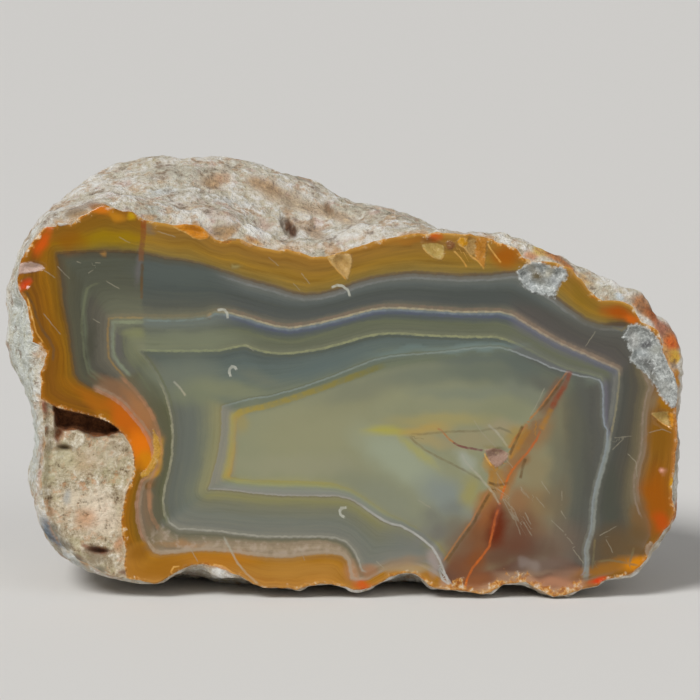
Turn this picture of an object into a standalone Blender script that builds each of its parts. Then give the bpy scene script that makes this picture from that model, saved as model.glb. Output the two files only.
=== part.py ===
"""A banded agate nodule, sawn through and polished, that rests on a small flat spot of its rind.

The stone is one solid. Its form is worked out in the frame of the polished cut: x to the right, rise up the
cut and depth into the stone. The cut then leans back, and the stone stands on the floor at z = 0.
Outlines are in pixels of the photograph, which looks square onto the cut, and PIXEL turns them to metres.
"""

import math

import bmesh
import bpy
import numpy as np
from mathutils import Vector, noise
from mathutils.geometry import delaunay_2d_cdt

MM = 0.001
STONE_WIDTH = 90 * MM
THICKNESS = 40 * MM  # from the cut to the back
LEAN = math.radians(8.0)  # how far the cut leans back from upright
STONE_PIXELS = 677.0
PIXEL = STONE_WIDTH / STONE_PIXELS
MIDDLE = (340.3, 599.5)  # the pixel above the origin, on the floor line
CORE = (345.0, 405.0)  # the pixel that the outlines turn round
BACK_TO_ORIGIN = 22.3 * MM  # from the foot of the cut to the middle of the stone's box

EDGE_POINTS = 208  # round the edge of the cut
TRIANGLE_SIDE = 1.75 * MM  # over the rind
RELIEF_SIDE = 1.25 * MM  # in the rough places of the cut

# Stations along the rind, as shares of the way from the cut's edge to the back
RIM, GIRTH = 0.05, 0.32

# The sawn edge, anticlockwise in the picture from the left end of the top
CUT_EDGE = [
    (60, 227), (52, 221), (46, 227), (40, 233), (33, 240), (27, 250), (21, 260), (19, 270), (18, 280),
    (20, 293), (25, 300), (28, 308), (29, 318), (30, 327), (33, 336), (33, 344), (43, 346), (47, 353),
    (45, 362), (41, 372), (41, 385), (41, 398), (42, 410), (44, 425), (46, 440), (44, 458), (42, 475),
    (42, 490), (44, 505), (48, 520), (54, 533), (62, 545), (70, 552), (80, 560), (92, 566), (105, 573),
    (118, 577), (130, 579), (143, 581), (155, 584), (163, 581), (170, 576), (180, 570), (192, 565),
    (203, 564), (213, 566), (225, 569), (236, 575), (247, 580), (256, 585), (266, 588), (276, 587),
    (288, 588), (298, 590), (308, 586), (320, 584), (332, 584), (343, 587), (355, 590), (368, 589),
    (378, 584), (388, 578), (398, 574), (408, 573), (417, 575), (424, 580), (430, 587), (440, 589),
    (455, 590), (470, 592), (482, 594), (491, 592), (497, 588), (503, 584), (515, 583), (526, 581),
    (535, 586), (543, 594), (552, 597), (566, 595), (575, 591), (588, 588), (598, 585), (607, 579),
    (620, 577), (632, 573), (640, 567), (646, 559), (650, 550), (655, 542), (661, 535), (668, 526),
    (674, 517), (675, 509), (672, 500), (672, 488), (674, 475), (675, 460), (677, 445), (678, 432),
    (676, 418), (676, 406), (678, 394), (676, 380), (669, 366), (664, 352), (661, 340), (658, 330),
    (650, 326), (640, 322), (637, 314), (633, 307), (624, 302), (613, 300), (604, 301), (595, 296),
    (587, 288), (580, 279), (573, 271), (566, 267), (558, 263), (545, 261), (533, 262), (524, 258),
    (517, 249), (507, 244), (497, 242), (487, 237), (475, 235), (462, 234), (450, 234), (438, 232),
    (428, 234), (416, 233), (405, 235), (392, 237), (378, 240), (365, 244), (352, 249), (338, 253),
    (325, 257), (312, 257), (300, 253), (290, 250), (275, 250), (262, 248), (250, 244), (240, 239),
    (231, 238), (222, 241), (214, 239), (207, 231), (198, 225), (187, 224), (175, 225), (162, 223),
    (151, 221), (141, 219), (132, 211), (124, 212), (113, 208), (105, 204), (97, 208), (88, 213),
    (79, 218), (71, 225),
]

# The crest of the rim, a little behind the cut, as far as it shows beside the cut
RIM_CREST = [
    (58, 210), (48, 212), (38, 224), (30, 236), (24, 246), (19, 258), (16, 272), (14, 285), (16, 296),
    (22, 312), (22, 330), (22, 345), (26, 362), (30, 385), (34, 410), (38, 440), (36, 470), (35, 495),
    (39, 520), (49, 540), (64, 556), (80, 566), (98, 575), (118, 580), (137, 583), (155, 585), (166, 581),
    (176, 574), (188, 568), (200, 566), (213, 574), (230, 577), (244, 580), (257, 586), (270, 589),
    (285, 588), (298, 591), (310, 586), (325, 584), (345, 588), (360, 591), (372, 589), (384, 581),
    (398, 575), (410, 574), (420, 577), (429, 588), (450, 590), (470, 593), (484, 595), (494, 592),
    (505, 584), (526, 583), (540, 595), (552, 598), (568, 596), (580, 591), (597, 588), (607, 581),
    (628, 578), (641, 571), (650, 561), (654, 551), (662, 541), (671, 531), (679, 513), (676, 499),
    (676, 485), (679, 465), (680, 445), (679, 425), (680, 402), (682, 380), (684, 362), (682, 347),
    (678, 337), (671, 328), (667, 322), (660, 319), (656, 315), (653, 306), (648, 298), (639, 291),
    (627, 287), (614, 283), (604, 278), (594, 273), (583, 270), (575, 264), (566, 259), (555, 254),
    (545, 249), (535, 243), (525, 239), (514, 236), (500, 233), (485, 233), (466, 233), (454, 231),
    (440, 229), (420, 226), (400, 226), (380, 225), (362, 224), (348, 227), (335, 234), (318, 240),
    (300, 241), (280, 238), (262, 233), (245, 225), (228, 214), (208, 209), (188, 210), (165, 208),
    (150, 205), (132, 200), (112, 197), (92, 200), (74, 207),
]

# The stone's widest outline, which lies deeper. It is the silhouette on the left and over the hump.
GIRTH_LINE = [
    (405, 214), (386, 204), (361, 194), (334, 183), (320, 177), (306, 169), (283, 165), (266, 159),
    (248, 152), (220, 150), (182, 151), (162, 148), (145, 149), (120, 152), (100, 159), (80, 169),
    (63, 184), (47, 200), (33, 218), (19, 240), (8, 265), (2, 285), (3, 296), (6, 307), (3, 318),
    (0, 327), (2, 342), (6, 362), (12, 378), (21, 397), (25, 420), (27, 443), (25, 460), (20, 475),
    (20, 492), (27, 516), (40, 541), (56, 558), (76, 569), (98, 575), (125, 578), (155, 579), (200, 582),
    (260, 586), (330, 588), (400, 588), (470, 586), (530, 581), (580, 573), (620, 558), (645, 536),
    (660, 510), (668, 480), (671, 440), (671, 400), (668, 370), (655, 342), (632, 318), (600, 292),
    (560, 270), (520, 253), (480, 243), (445, 234), (420, 223),
]

# How deep the girth lies, by angle round the core in degrees, anticlockwise from the right
GIRTH_DEPTH = [
    (-180, 11), (-150, 9), (-110, 13), (-60, 13), (0, 12), (60, 12), (74, 15), (90, 20), (135, 19), (160, 12),
]
RIM_DEPTH = [
    (-180, 1.2), (-130, 1.0), (-90, 0.8), (-30, 1.4), (20, 2.2), (60, 1.8), (80, 3.4), (110, 3.6), (140, 2.4),
    (160, 1.6),
]
BACK_SHIFT = (-24.0, 6.0)  # pixels that the back's middle lies from the core
BACK_ROUNDNESS = 0.75  # 1 for an ellipse's roundness, less for a fuller back
PIT_SPACING = 9 * MM  # of the round pits over the rind
PIT_RADIUS = 0.36 * PIT_SPACING

# The agate's edge against the soft rock at its lower left, from the left end down to the base
ROCK_EDGE = [
    (41, 399), (50, 404), (58, 408), (70, 411), (84, 413), (98, 415), (108, 419), (117, 425), (125, 434),
    (131, 446), (134, 458), (134, 468), (131, 480), (126, 493), (123, 507), (121, 521), (122, 536),
    (126, 550), (124, 565), (127, 579),
]
ROCK_OUTSIDE = [(110, 620), (20, 600), (0, 500), (0, 400)]  # closes the rock's region beyond the stone
ROCK_SETBACK = 1.0 * MM

# Hollows in the face of the rock: middle, half length and half width in pixels, turn in degrees, depth
ROCK_HOLLOWS = [
    (88, 422, 36, 10, -6, 4.0 * MM),
    (58, 430, 6, 12, 0, 1.8 * MM),
    (98, 551, 14, 4, -6, 1.6 * MM),
    (63, 448, 9, 3, -12, 1.0 * MM),
]

# Patches where fine crystals break the polish
CRYSTAL_PATCHES = [
    [
        (519, 266), (519, 278), (526, 287), (537, 292), (551, 296), (560, 289), (567, 277), (563, 267),
        (545, 262), (530, 262),
    ],
    [
        (631, 328), (628, 340), (631, 350), (631, 360), (641, 367), (651, 380), (659, 392), (668, 404),
        (674, 408), (677, 396), (672, 380), (666, 366), (660, 350), (656, 336), (645, 327),
    ],
]
CRYSTAL_SETBACK = 0.8 * MM

# Chips off the sawn edge, and a small vug in the middle, given in the same way
CHIPS = [
    (497, 455, 13, 8, 12, 0.8 * MM),
    (197, 229, 17, 8, -10, 0.7 * MM),
    (224, 234, 15, 9, 0, 0.9 * MM),
    (341, 262, 16, 8, -60, 0.7 * MM),
    (434, 246, 15, 8, -35, 0.8 * MM),
    (474, 247, 20, 9, -55, 0.7 * MM),
    (497, 252, 14, 7, -60, 0.6 * MM),
    (664, 419, 12, 9, -30, 0.8 * MM),
    (33, 267, 15, 5, 0, 0.7 * MM),
    (26, 284, 8, 6, 30, 0.6 * MM),
    (649, 553, 6, 9, -25, 0.8 * MM),
]

# Pits and the saddle of the rind above the cut, given in the same way
RIND_HOLLOWS = [
    (288, 224, 19, 8, -62, 2.4 * MM),
    (262, 221, 11, 7, -30, 0.9 * MM),
    (315, 223, 12, 7, 10, 1.0 * MM),
    (331, 204, 11, 6, -55, 1.0 * MM),
    (365, 213, 42, 9, -18, 1.1 * MM),
    (205, 178, 18, 9, 5, 0.5 * MM),
    (14, 306, 9, 8, 0, 1.1 * MM),
]

AGATE_COLOUR = (0.30, 0.29, 0.21, 1.0)


def outline(points, smoothing_deg):
    """A closed line of pixels as a function: angle round the core -> distance from it in pixels."""
    offset = np.array(points, float) - CORE
    angle = np.arctan2(-offset[:, 1], offset[:, 0])
    order = np.argsort(angle)
    fine = np.radians(np.arange(-180.0, 180.0, 0.25))
    radius = np.interp(fine, angle[order], np.hypot(*offset.T)[order], period=2 * math.pi)
    if smoothing_deg:
        bell = np.exp(-0.5 * (fine / math.radians(smoothing_deg)) ** 2)
        spectrum = np.fft.rfft(radius) * np.fft.rfft(np.fft.ifftshift(bell / bell.sum()))
        radius = np.fft.irfft(spectrum, len(fine))
    return lambda turn: np.interp(turn, fine, radius, period=2 * math.pi)


def by_angle(pairs):
    """Pairs of degrees and millimetres as a smooth periodic function of the angle, in metres."""
    degrees, depths = np.array(pairs, float).T
    return lambda turn: MM * np.interp(np.degrees(turn), degrees, depths, period=360.0)


cut_edge = outline(CUT_EDGE, 0.0)
rim_crest = outline(RIM_CREST, 0.4)
girth_line = outline(GIRTH_LINE, 2.0)
girth_depth = by_angle(GIRTH_DEPTH)
rim_depth = by_angle(RIM_DEPTH)


def ease(share):
    share = np.clip(share, 0.0, 1.0)
    return share * share * (3.0 - 2.0 * share)


def even_turns(count, shift=0.0):
    """Angles round the core at even steps along the stone's widest outline."""
    turns = np.linspace(-math.pi, math.pi, 1441)
    x, y = girth_line(turns) * np.cos(turns), girth_line(turns) * np.sin(turns)
    length = np.r_[0.0, np.cumsum(np.hypot(np.diff(x), np.diff(y)))]
    return np.interp((np.arange(count) + shift) * length[-1] / count, length, turns)


def rind_point(turn, station):
    """Pixels right and down in the picture, and metres of depth, of the rind at an angle and a station."""
    to_rim = np.clip(station / RIM, 0.0, 1.0)
    to_girth = np.clip((station - RIM) / (GIRTH - RIM), 0.0, 1.0)
    to_back = np.clip((station - GIRTH) / (1.0 - GIRTH), 0.0, 1.0) * math.pi / 2
    edge, crest, girth = cut_edge(turn), rim_crest(turn), girth_line(turn)
    radius = edge + (crest - edge) * np.sin(to_rim * math.pi / 2) + (girth - crest) * ease(to_girth)
    radius = radius * np.cos(to_back).clip(0.0) ** BACK_ROUNDNESS
    deep = rim_depth(turn)
    depth = deep * to_rim + (girth_depth(turn) - deep) * to_girth
    depth = depth + (THICKNESS - girth_depth(turn)) * np.sin(to_back)
    shift = 1.0 - np.cos(to_back)
    right = CORE[0] + BACK_SHIFT[0] * shift + radius * np.cos(turn)
    down = CORE[1] + BACK_SHIFT[1] * shift - radius * np.sin(turn)
    return right, down, depth


def to_plane(right, down):
    """Pixels to metres right of the middle and up the cut from the floor line."""
    return (np.asarray(right) - MIDDLE[0]) * PIXEL, (MIDDLE[1] - np.asarray(down)) * PIXEL


def to_pixels(x, rise):
    return x / PIXEL + MIDDLE[0], MIDDLE[1] - rise / PIXEL


def distance_inside(points, polygon):
    """Distance of each point from a polygon's line, positive inside."""
    points, polygon = np.asarray(points, float), np.asarray(polygon, float)
    nearest = np.full(len(points), np.inf)
    inside = np.zeros(len(points), bool)
    for a, b in zip(polygon, np.roll(polygon, -1, axis=0)):
        side, reach = b - a, points - a
        along = np.clip(reach @ side / (side @ side), 0.0, 1.0)
        nearest = np.minimum(nearest, np.hypot(*(reach - along[:, None] * side).T))
        crosses = (a[1] > points[:, 1]) != (b[1] > points[:, 1])
        with np.errstate(divide="ignore", invalid="ignore"):
            at = a[0] + (points[:, 1] - a[1]) * side[0] / side[1]
        inside ^= crosses & (points[:, 0] < at)
    return np.where(inside, nearest, -nearest)


def hollow(pixels, middle_x, middle_y, half_length, half_width, turn_deg):
    """1 in the middle of a rounded hollow, 0 beyond its rim."""
    turn = math.radians(turn_deg)
    x, y = pixels[:, 0] - middle_x, middle_y - pixels[:, 1]
    along = (x * math.cos(turn) + y * math.sin(turn)) / half_length
    across = (y * math.cos(turn) - x * math.sin(turn)) / half_width
    return ease(1.0 - np.hypot(along, across)) ** 0.7


def bumps(points, size, seed):
    """Smooth noise from -1 to 1 with lumps of about that size."""
    shift = Vector((seed * 7.3, seed * 3.1, seed * 5.7))
    return np.array([noise.noise(Vector(p) / size + shift) for p in points])


def cut_relief(pixels, edge_distance):
    """How far the cut lies behind the polished plane at these pixels."""
    rock = distance_inside(pixels, ROCK_EDGE + ROCK_OUTSIDE)
    grains = 0.3 * MM * bumps(np.c_[pixels, 0 * rock] * PIXEL, 2.2 * MM, 1)
    depth = ease(rock / 3.0) * (ROCK_SETBACK + grains)
    for *place, deep in ROCK_HOLLOWS:
        depth += ease(rock / 3.0) * deep * hollow(pixels, *place)
    for patch in CRYSTAL_PATCHES:
        inside = distance_inside(pixels, patch)
        crystals = 0.35 * MM * bumps(np.c_[pixels, 0 * rock] * PIXEL, 1.1 * MM, 2)
        depth += ease(inside / 4.0) * (CRYSTAL_SETBACK + crystals)
    for *place, deep in CHIPS:
        depth += deep * hollow(pixels, *place)
    depth = np.where(depth < 0.06 * MM, 0.0, depth)
    return depth * ease(edge_distance / 6.0)


def spread_out(places, gap):
    """The places, less each one that lies within a gap of an earlier one."""
    taken, kept = {}, []
    for x, y in places:
        column, row = int(x // gap), int(y // gap)
        near = [p for i in (-1, 0, 1) for j in (-1, 0, 1) for p in taken.get((column + i, row + j), [])]
        if all(math.hypot(x - u, y - v) >= gap for u, v in near):
            taken.setdefault((column, row), []).append((x, y))
            kept.append((x, y))
    return np.array(kept)


def triangulate(points, edge_count):
    """Triangles over flat points, of which the first ones go round the edge."""
    edges = [(i, (i + 1) % edge_count) for i in range(edge_count)]
    made = delaunay_2d_cdt([Vector(p) for p in points], edges, [list(range(edge_count))], 1, 1e-9)
    source = [origins[0] for origins in made[3]]
    return [[source[i] for i in face] for face in made[2]]


def lattice(low, high, side):
    """Points of a triangular lattice over a box."""
    rows = np.arange(low[1], high[1], side * math.sqrt(3) / 2)
    points = [
        (x, y)
        for j, y in enumerate(rows)
        for x in np.arange(low[0] + (j % 2) * side / 2, high[0], side)
    ]
    return np.array(points)


def stepped(line, closed, step, shift):
    """A line of pixels in even steps, moved sideways by a number of pixels."""
    points = np.array(line + line[:1] if closed else line, float)
    length = np.r_[0.0, np.cumsum(np.hypot(*np.diff(points, axis=0).T))]
    at = np.linspace(0.0, length[-1], max(2, round(length[-1] / step)))
    even = np.column_stack([np.interp(at, length, points[:, k]) for k in (0, 1)])
    run = np.gradient(even, axis=0)
    run /= np.hypot(*run.T)[:, None]
    return even + shift * np.c_[-run[:, 1], run[:, 0]]


def cut_surface(turns):
    """The flat cut with its rough places: points (x, rise, depth) beyond the edge ring, and triangles."""
    edge = np.c_[CORE[0] + cut_edge(turns) * np.cos(turns), CORE[1] - cut_edge(turns) * np.sin(turns)]
    side = RELIEF_SIDE / PIXEL
    groups = [stepped(ROCK_EDGE, False, side, shift) for shift in (0.0, 4.0)]
    groups += [stepped(patch, True, side, shift) for patch in CRYSTAL_PATCHES for shift in (0.0, -5.0)]
    points = lattice((0, 190), (700, 610), side)
    groups.append(points[cut_relief(points, distance_inside(points, edge).clip(0.0)) > 0.0])
    beyond = np.vstack(groups)
    places = spread_out(np.vstack([edge, beyond[distance_inside(beyond, edge) > 3.0]]), 3.4)
    triangles = triangulate(places * (1, -1), len(turns))
    depth = cut_relief(places, distance_inside(places, edge).clip(0.0))
    return np.c_[np.column_stack(to_plane(*places.T)), depth][len(turns):], triangles


def standing(turn, station):
    """Points of the rind in metres: to the right, up the cut and into the stone."""
    right, down, depth = rind_point(turn, station)
    return np.column_stack([*to_plane(right, down), depth])


def rings():
    """(station, number of points, size in a flat disc) of each ring of the rind behind the edge."""
    turns = even_turns(72)
    station, disc, found = 0.0, 1.0, []
    while True:
        step = 0.004 if station < RIM else 0.01
        length = 0.6 * TRIANGLE_SIDE if station < RIM else TRIANGLE_SIDE
        here, after = standing(turns, station), standing(turns, station + step)
        girth = np.linalg.norm(here - np.roll(here, 1, axis=0), axis=1).sum()
        station += step * length / np.linalg.norm(after - here, axis=1).mean()
        if station > 0.985:
            return found
        disc *= math.exp(-2 * math.pi * length / girth)
        found.append((station, max(7, min(EDGE_POINTS, round(girth / length))), disc))


def rind_surface(turns):
    """The rind from behind the edge ring to the back: points, triangles and each point's station."""
    around = np.arange(len(turns)) * 2 * math.pi / len(turns)
    flat, points, stations = [np.c_[np.cos(around), np.sin(around)]], [], []
    for number, (station, count, disc) in enumerate(rings()):
        shift = (number + 1) % 2 / 2
        around = (np.arange(count) + shift) * 2 * math.pi / count
        flat.append(disc * np.c_[np.cos(around), np.sin(around)])
        points.append(standing(even_turns(count, shift), station))
        stations += [station] * count
    flat.append(np.zeros((1, 2)))
    points.append(standing(np.zeros(1), 1.0))
    triangles = [face[::-1] for face in triangulate(np.vstack(flat), len(turns))]
    return np.vstack(points), triangles, np.array(stations + [1.0])


def normals(points, triangles):
    """Unit normals out of the stone at the points. The cut's frame is left-handed, hence the order."""
    corners = points[triangles]
    faces = np.cross(corners[:, 2] - corners[:, 0], corners[:, 1] - corners[:, 0])
    total = np.zeros_like(points)
    for k in range(3):
        np.add.at(total, triangles[:, k], faces)
    return total / np.linalg.norm(total, axis=1)[:, None].clip(1e-12)


def pits(points):
    """1 in the middle of a round pit, 0 between the pits. Only some of the cells hold one."""
    depth = []
    for point in points:
        distances, middles = noise.voronoi(Vector(point) / PIT_SPACING)
        chosen = noise.noise(middles[0] * 3.7) > 0.0
        depth.append(ease(1.0 - distances[0] * PIT_SPACING / PIT_RADIUS) if chosen else 0.0)
    return np.array(depth)


def rind_relief(points, stations):
    """How far the rind stands out at these points: lumps, growing to the back, less the pits."""
    behind = ease((stations - RIM) / (GIRTH + 0.2))
    relief = -(0.15 + 1.6 * behind) * MM * bumps(points, 17 * MM, 3)
    relief -= (0.3 + 0.8 * behind) * MM * bumps(points, 6.5 * MM, 4)
    relief += 0.25 * MM * bumps(points, 3.0 * MM, 5)
    relief -= (0.3 + 0.6 * behind) * MM * pits(points)
    relief *= ease(stations / RIM)
    pixels = np.column_stack(to_pixels(points[:, 0], points[:, 1]))
    in_front = 1.0 - ease((stations - GIRTH + 0.02) / 0.05)
    for *place, deep in RIND_HOLLOWS:
        relief -= in_front * ease((stations - 0.02) / 0.03) * deep * hollow(pixels, *place)
    return relief


def leaned(points):
    """From the cut's frame to the standing stone's."""
    x, rise, depth = points.T
    y = rise * math.sin(LEAN) + depth * math.cos(LEAN) - BACK_TO_ORIGIN
    z = rise * math.cos(LEAN) - depth * math.sin(LEAN)
    return np.column_stack([x, y, z])


def stone_mesh():
    """The whole stone before its underside is flattened."""
    turns = even_turns(EDGE_POINTS)
    edge = standing(turns, 0.0)
    cut_points, cut_triangles = cut_surface(turns)
    rind_points, rind_triangles, stations = rind_surface(turns)
    points = np.vstack([edge, cut_points, rind_points])
    beyond = EDGE_POINTS + len(cut_points)
    moved = [[i if i < EDGE_POINTS else i + len(cut_points) for i in face] for face in rind_triangles]
    triangles = np.array(cut_triangles + moved)
    outward = normals(points, triangles)[beyond:]
    points[beyond:] += outward * rind_relief(rind_points, stations)[:, None]
    mesh = bpy.data.meshes.new("agate_nodule")
    mesh.from_pydata(leaned(points).tolist(), [], triangles.tolist())
    return mesh


def flatten_underside(mesh):
    """Cuts the stone off at the floor, where it rests on the small flat spot that is left."""
    work = bmesh.new()
    work.from_mesh(mesh)
    whole = work.verts[:] + work.edges[:] + work.faces[:]
    floor = {"plane_co": (0, 0, 0), "plane_no": (0, 0, 1)}
    bmesh.ops.bisect_plane(work, geom=whole, dist=1e-6, clear_inner=True, **floor)
    bmesh.ops.holes_fill(work, edges=[e for e in work.edges if e.is_boundary], sides=0)
    bmesh.ops.triangulate(work, faces=[f for f in work.faces if len(f.verts) > 3])
    work.to_mesh(mesh)
    work.free()


def agate_material():
    material = bpy.data.materials.new("agate")
    material.use_nodes = True
    shader = material.node_tree.nodes["Principled BSDF"]
    shader.inputs["Base Color"].default_value = AGATE_COLOUR
    shader.inputs["Roughness"].default_value = 0.2
    shader.inputs["Metallic"].default_value = 0.0
    return material


def build():
    for old in list(bpy.data.objects):
        bpy.data.objects.remove(old, do_unlink=True)
    mesh = stone_mesh()
    flatten_underside(mesh)
    mesh.materials.append(agate_material())
    stone = bpy.data.objects.new("agate_nodule", mesh)
    bpy.context.scene.collection.objects.link(stone)


build()
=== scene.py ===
"""The look of the banded agate nodule: one closed mesh, its polished cut and rind, and a plain studio.

The form is the CAD form, worked out again at a finer step. Outlines and markings are in pixels of the
photograph, which looks square onto the cut, and PIXEL turns them to metres.
"""

import math

import bpy
import numpy as np
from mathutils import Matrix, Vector, noise
from mathutils.geometry import delaunay_2d_cdt


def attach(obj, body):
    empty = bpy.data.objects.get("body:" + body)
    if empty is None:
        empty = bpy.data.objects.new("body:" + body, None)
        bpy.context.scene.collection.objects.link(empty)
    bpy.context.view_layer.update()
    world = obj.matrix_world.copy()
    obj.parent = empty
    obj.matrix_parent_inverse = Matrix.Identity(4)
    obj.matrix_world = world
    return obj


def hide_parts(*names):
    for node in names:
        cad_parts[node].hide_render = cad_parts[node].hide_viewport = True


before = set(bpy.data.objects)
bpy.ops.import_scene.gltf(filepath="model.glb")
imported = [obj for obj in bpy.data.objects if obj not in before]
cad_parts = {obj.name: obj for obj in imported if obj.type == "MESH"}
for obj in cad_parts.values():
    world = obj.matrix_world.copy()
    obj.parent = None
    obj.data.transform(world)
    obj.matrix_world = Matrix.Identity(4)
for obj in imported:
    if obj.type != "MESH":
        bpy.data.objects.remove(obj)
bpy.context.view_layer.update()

MM = 0.001
STONE_WIDTH = 90 * MM
THICKNESS = 40 * MM  # from the cut to the back
LEAN = math.radians(8.0)  # how far the cut leans back from upright
STONE_PIXELS = 677.0  # the stone's width in the photograph
PIXEL = STONE_WIDTH / STONE_PIXELS
MIDDLE = (340.3, 599.5)  # the pixel above the origin, on the floor line
CORE = (345.0, 405.0)  # the pixel that the outlines turn round
BACK_TO_ORIGIN = 22.3 * MM  # from the foot of the cut to the middle of the stone's box
VIEW_DISTANCE = 450 * MM
PICTURE = 700.0  # pixels across

# How fine the mesh is: points round the edge, and steps in pixels on the cut and in metres on the rind
EDGE_POINTS = 720
FINE_STEP = 2.1
FEATURE_STEP = 3.0
RIND_STEP = 0.46 * MM
RIM_STEP = 0.75 * RIND_STEP
FEWEST_ROUND = 7  # points in the smallest ring of the rind

# The lattice of points on the cut, which more than covers it: rows, first and last column, top, and the
# pixels left, right and below that bound it
ROWS, FIRST_COLUMN, LAST_COLUMN = 260, -140, 340
CUT_TOP, CUT_LEFT, CUT_RIGHT, CUT_BOTTOM = 190, 10, 690, 600
EDGE_GAP = 1.4  # pixels that the lattice keeps from the edge
EDGE_BELT = 5.0  # pixels beside the edge where the lattice stays fine
FEATURE_BELT = 4.0  # the same beside the lines and patches
LEAST_RELIEF = 0.03 * MM

# How many angles are used to measure the outline and the rings, and degrees between those of an outline
OUTLINE_TURNS, RING_TURNS = 1441, 144
ANGLE_STEP = 0.25

# Stations along the rind, as shares of the way from the cut's edge to the back
RIM, GIRTH = 0.05, 0.32
LAST_STATION = 0.995
LUMP_GROWTH = GIRTH + 0.2  # over how much of the way the rind's lumps and pits grow
SIGHT_END, SIGHT_FADE = GIRTH - 0.02, 0.05  # from where the rind's own hollows fade out, and over how much
HOLLOW_START, HOLLOW_FADE = 0.02, 0.03  # where they begin beside the rim, in the same way
RIM_PROBE, RIND_PROBE = 0.004, 0.01  # short steps of the station, for measuring how far it reaches

# The map of the surface: the pixel at the cut's lower left, the pixels across it, how high up the cut starts,
# and the middle and half sizes of the disc that holds the rind
MAP_CORNER, MAP_PIXELS, MAP_FLOOR = np.array([8, 600]), 684, 0.41
MAP_DISC_MIDDLE, MAP_DISC_HALVES = np.array([0.5, 0.2]), np.array([0.49, 0.195])

# Layers of noise: height, size of the lumps, seed
EDGE_JAG = [(1.3, 9.0, 6), (0.78, 4.0, 7)]
ROCK_BUMPS = [(0.3 * MM, 2.2 * MM, 1), (0.16 * MM, 0.9 * MM, 8)]
CAVITY_JAG = [(2.0, 0.8 * MM, 12)]
CRYSTAL_BUMPS = [(0.35 * MM, 1.1 * MM, 2), (0.15 * MM, 0.6 * MM, 9)]
CRUST_BUMPS = [(0.9, 3.0 * MM, 5), (0.7, 1.6 * MM, 10), (0.5, 0.9 * MM, 11)]
WANDER_RIGHT = [(4.0, 16.0, 20), (2.0, 6.0, 21)]
WANDER_DOWN = [(4.0, 16.0, 22)]

# The rind's lumps: height at the rim, how much more at the back, size, seed
RIND_LUMPS = [(0.15 * MM, 1.6 * MM, 17 * MM, 3), (0.3 * MM, 0.8 * MM, 6.5 * MM, 4)]
CRUST_HEIGHT = 0.42 * MM
SMALL_PIT_DEPTH = 0.9  # in shares of the crust's height
HOLLOW_POWER = 0.7  # below 1 for a hollow with a steep rim
STAIN_REACH = 1.25  # how far a stain reaches, in its half sizes
CHIP_ROUGHNESS = 0.4

# The sawn edge, anticlockwise in the picture from the left end of the top
CUT_EDGE = [
    (60, 227), (52, 221), (46, 227), (40, 233), (33, 240), (27, 250), (21, 260), (19, 270), (18, 280),
    (20, 293), (25, 300), (28, 308), (29, 318), (30, 327), (33, 336), (33, 344), (43, 346), (47, 353),
    (45, 362), (41, 372), (41, 385), (41, 398), (42, 410), (44, 425), (46, 440), (44, 458), (42, 475),
    (42, 490), (44, 505), (48, 520), (54, 533), (62, 545), (70, 552), (80, 560), (92, 566), (105, 573),
    (118, 577), (130, 579), (143, 581), (155, 584), (163, 581), (170, 576), (180, 570), (192, 565),
    (203, 564), (213, 566), (225, 569), (236, 575), (247, 580), (256, 585), (266, 588), (276, 587),
    (288, 588), (298, 590), (308, 586), (320, 584), (332, 584), (343, 587), (355, 590), (368, 589),
    (378, 584), (388, 578), (398, 574), (408, 573), (417, 575), (424, 580), (430, 587), (440, 589),
    (455, 590), (470, 592), (482, 594), (491, 592), (497, 588), (503, 584), (515, 583), (526, 581),
    (535, 586), (543, 594), (552, 597), (566, 595), (575, 591), (588, 588), (598, 585), (607, 579),
    (620, 577), (632, 573), (640, 567), (646, 559), (650, 550), (655, 542), (661, 535), (668, 526),
    (674, 517), (675, 509), (672, 500), (672, 488), (674, 475), (675, 460), (677, 445), (678, 432),
    (676, 418), (676, 406), (678, 394), (676, 380), (669, 366), (664, 352), (661, 340), (658, 330),
    (650, 326), (640, 322), (637, 314), (633, 307), (624, 302), (613, 300), (604, 301), (595, 296),
    (587, 288), (580, 279), (573, 271), (566, 267), (558, 263), (545, 261), (533, 262), (524, 258),
    (517, 249), (507, 244), (497, 242), (487, 237), (475, 235), (462, 234), (450, 234), (438, 232),
    (428, 234), (416, 233), (405, 235), (392, 237), (378, 240), (365, 244), (352, 249), (338, 253),
    (325, 257), (312, 257), (300, 253), (290, 250), (275, 250), (262, 248), (250, 244), (240, 239),
    (231, 238), (222, 241), (214, 239), (207, 231), (198, 225), (187, 224), (175, 225), (162, 223),
    (151, 221), (141, 219), (132, 211), (124, 212), (113, 208), (105, 204), (97, 208), (88, 213),
    (79, 218), (71, 225),
]

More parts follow.
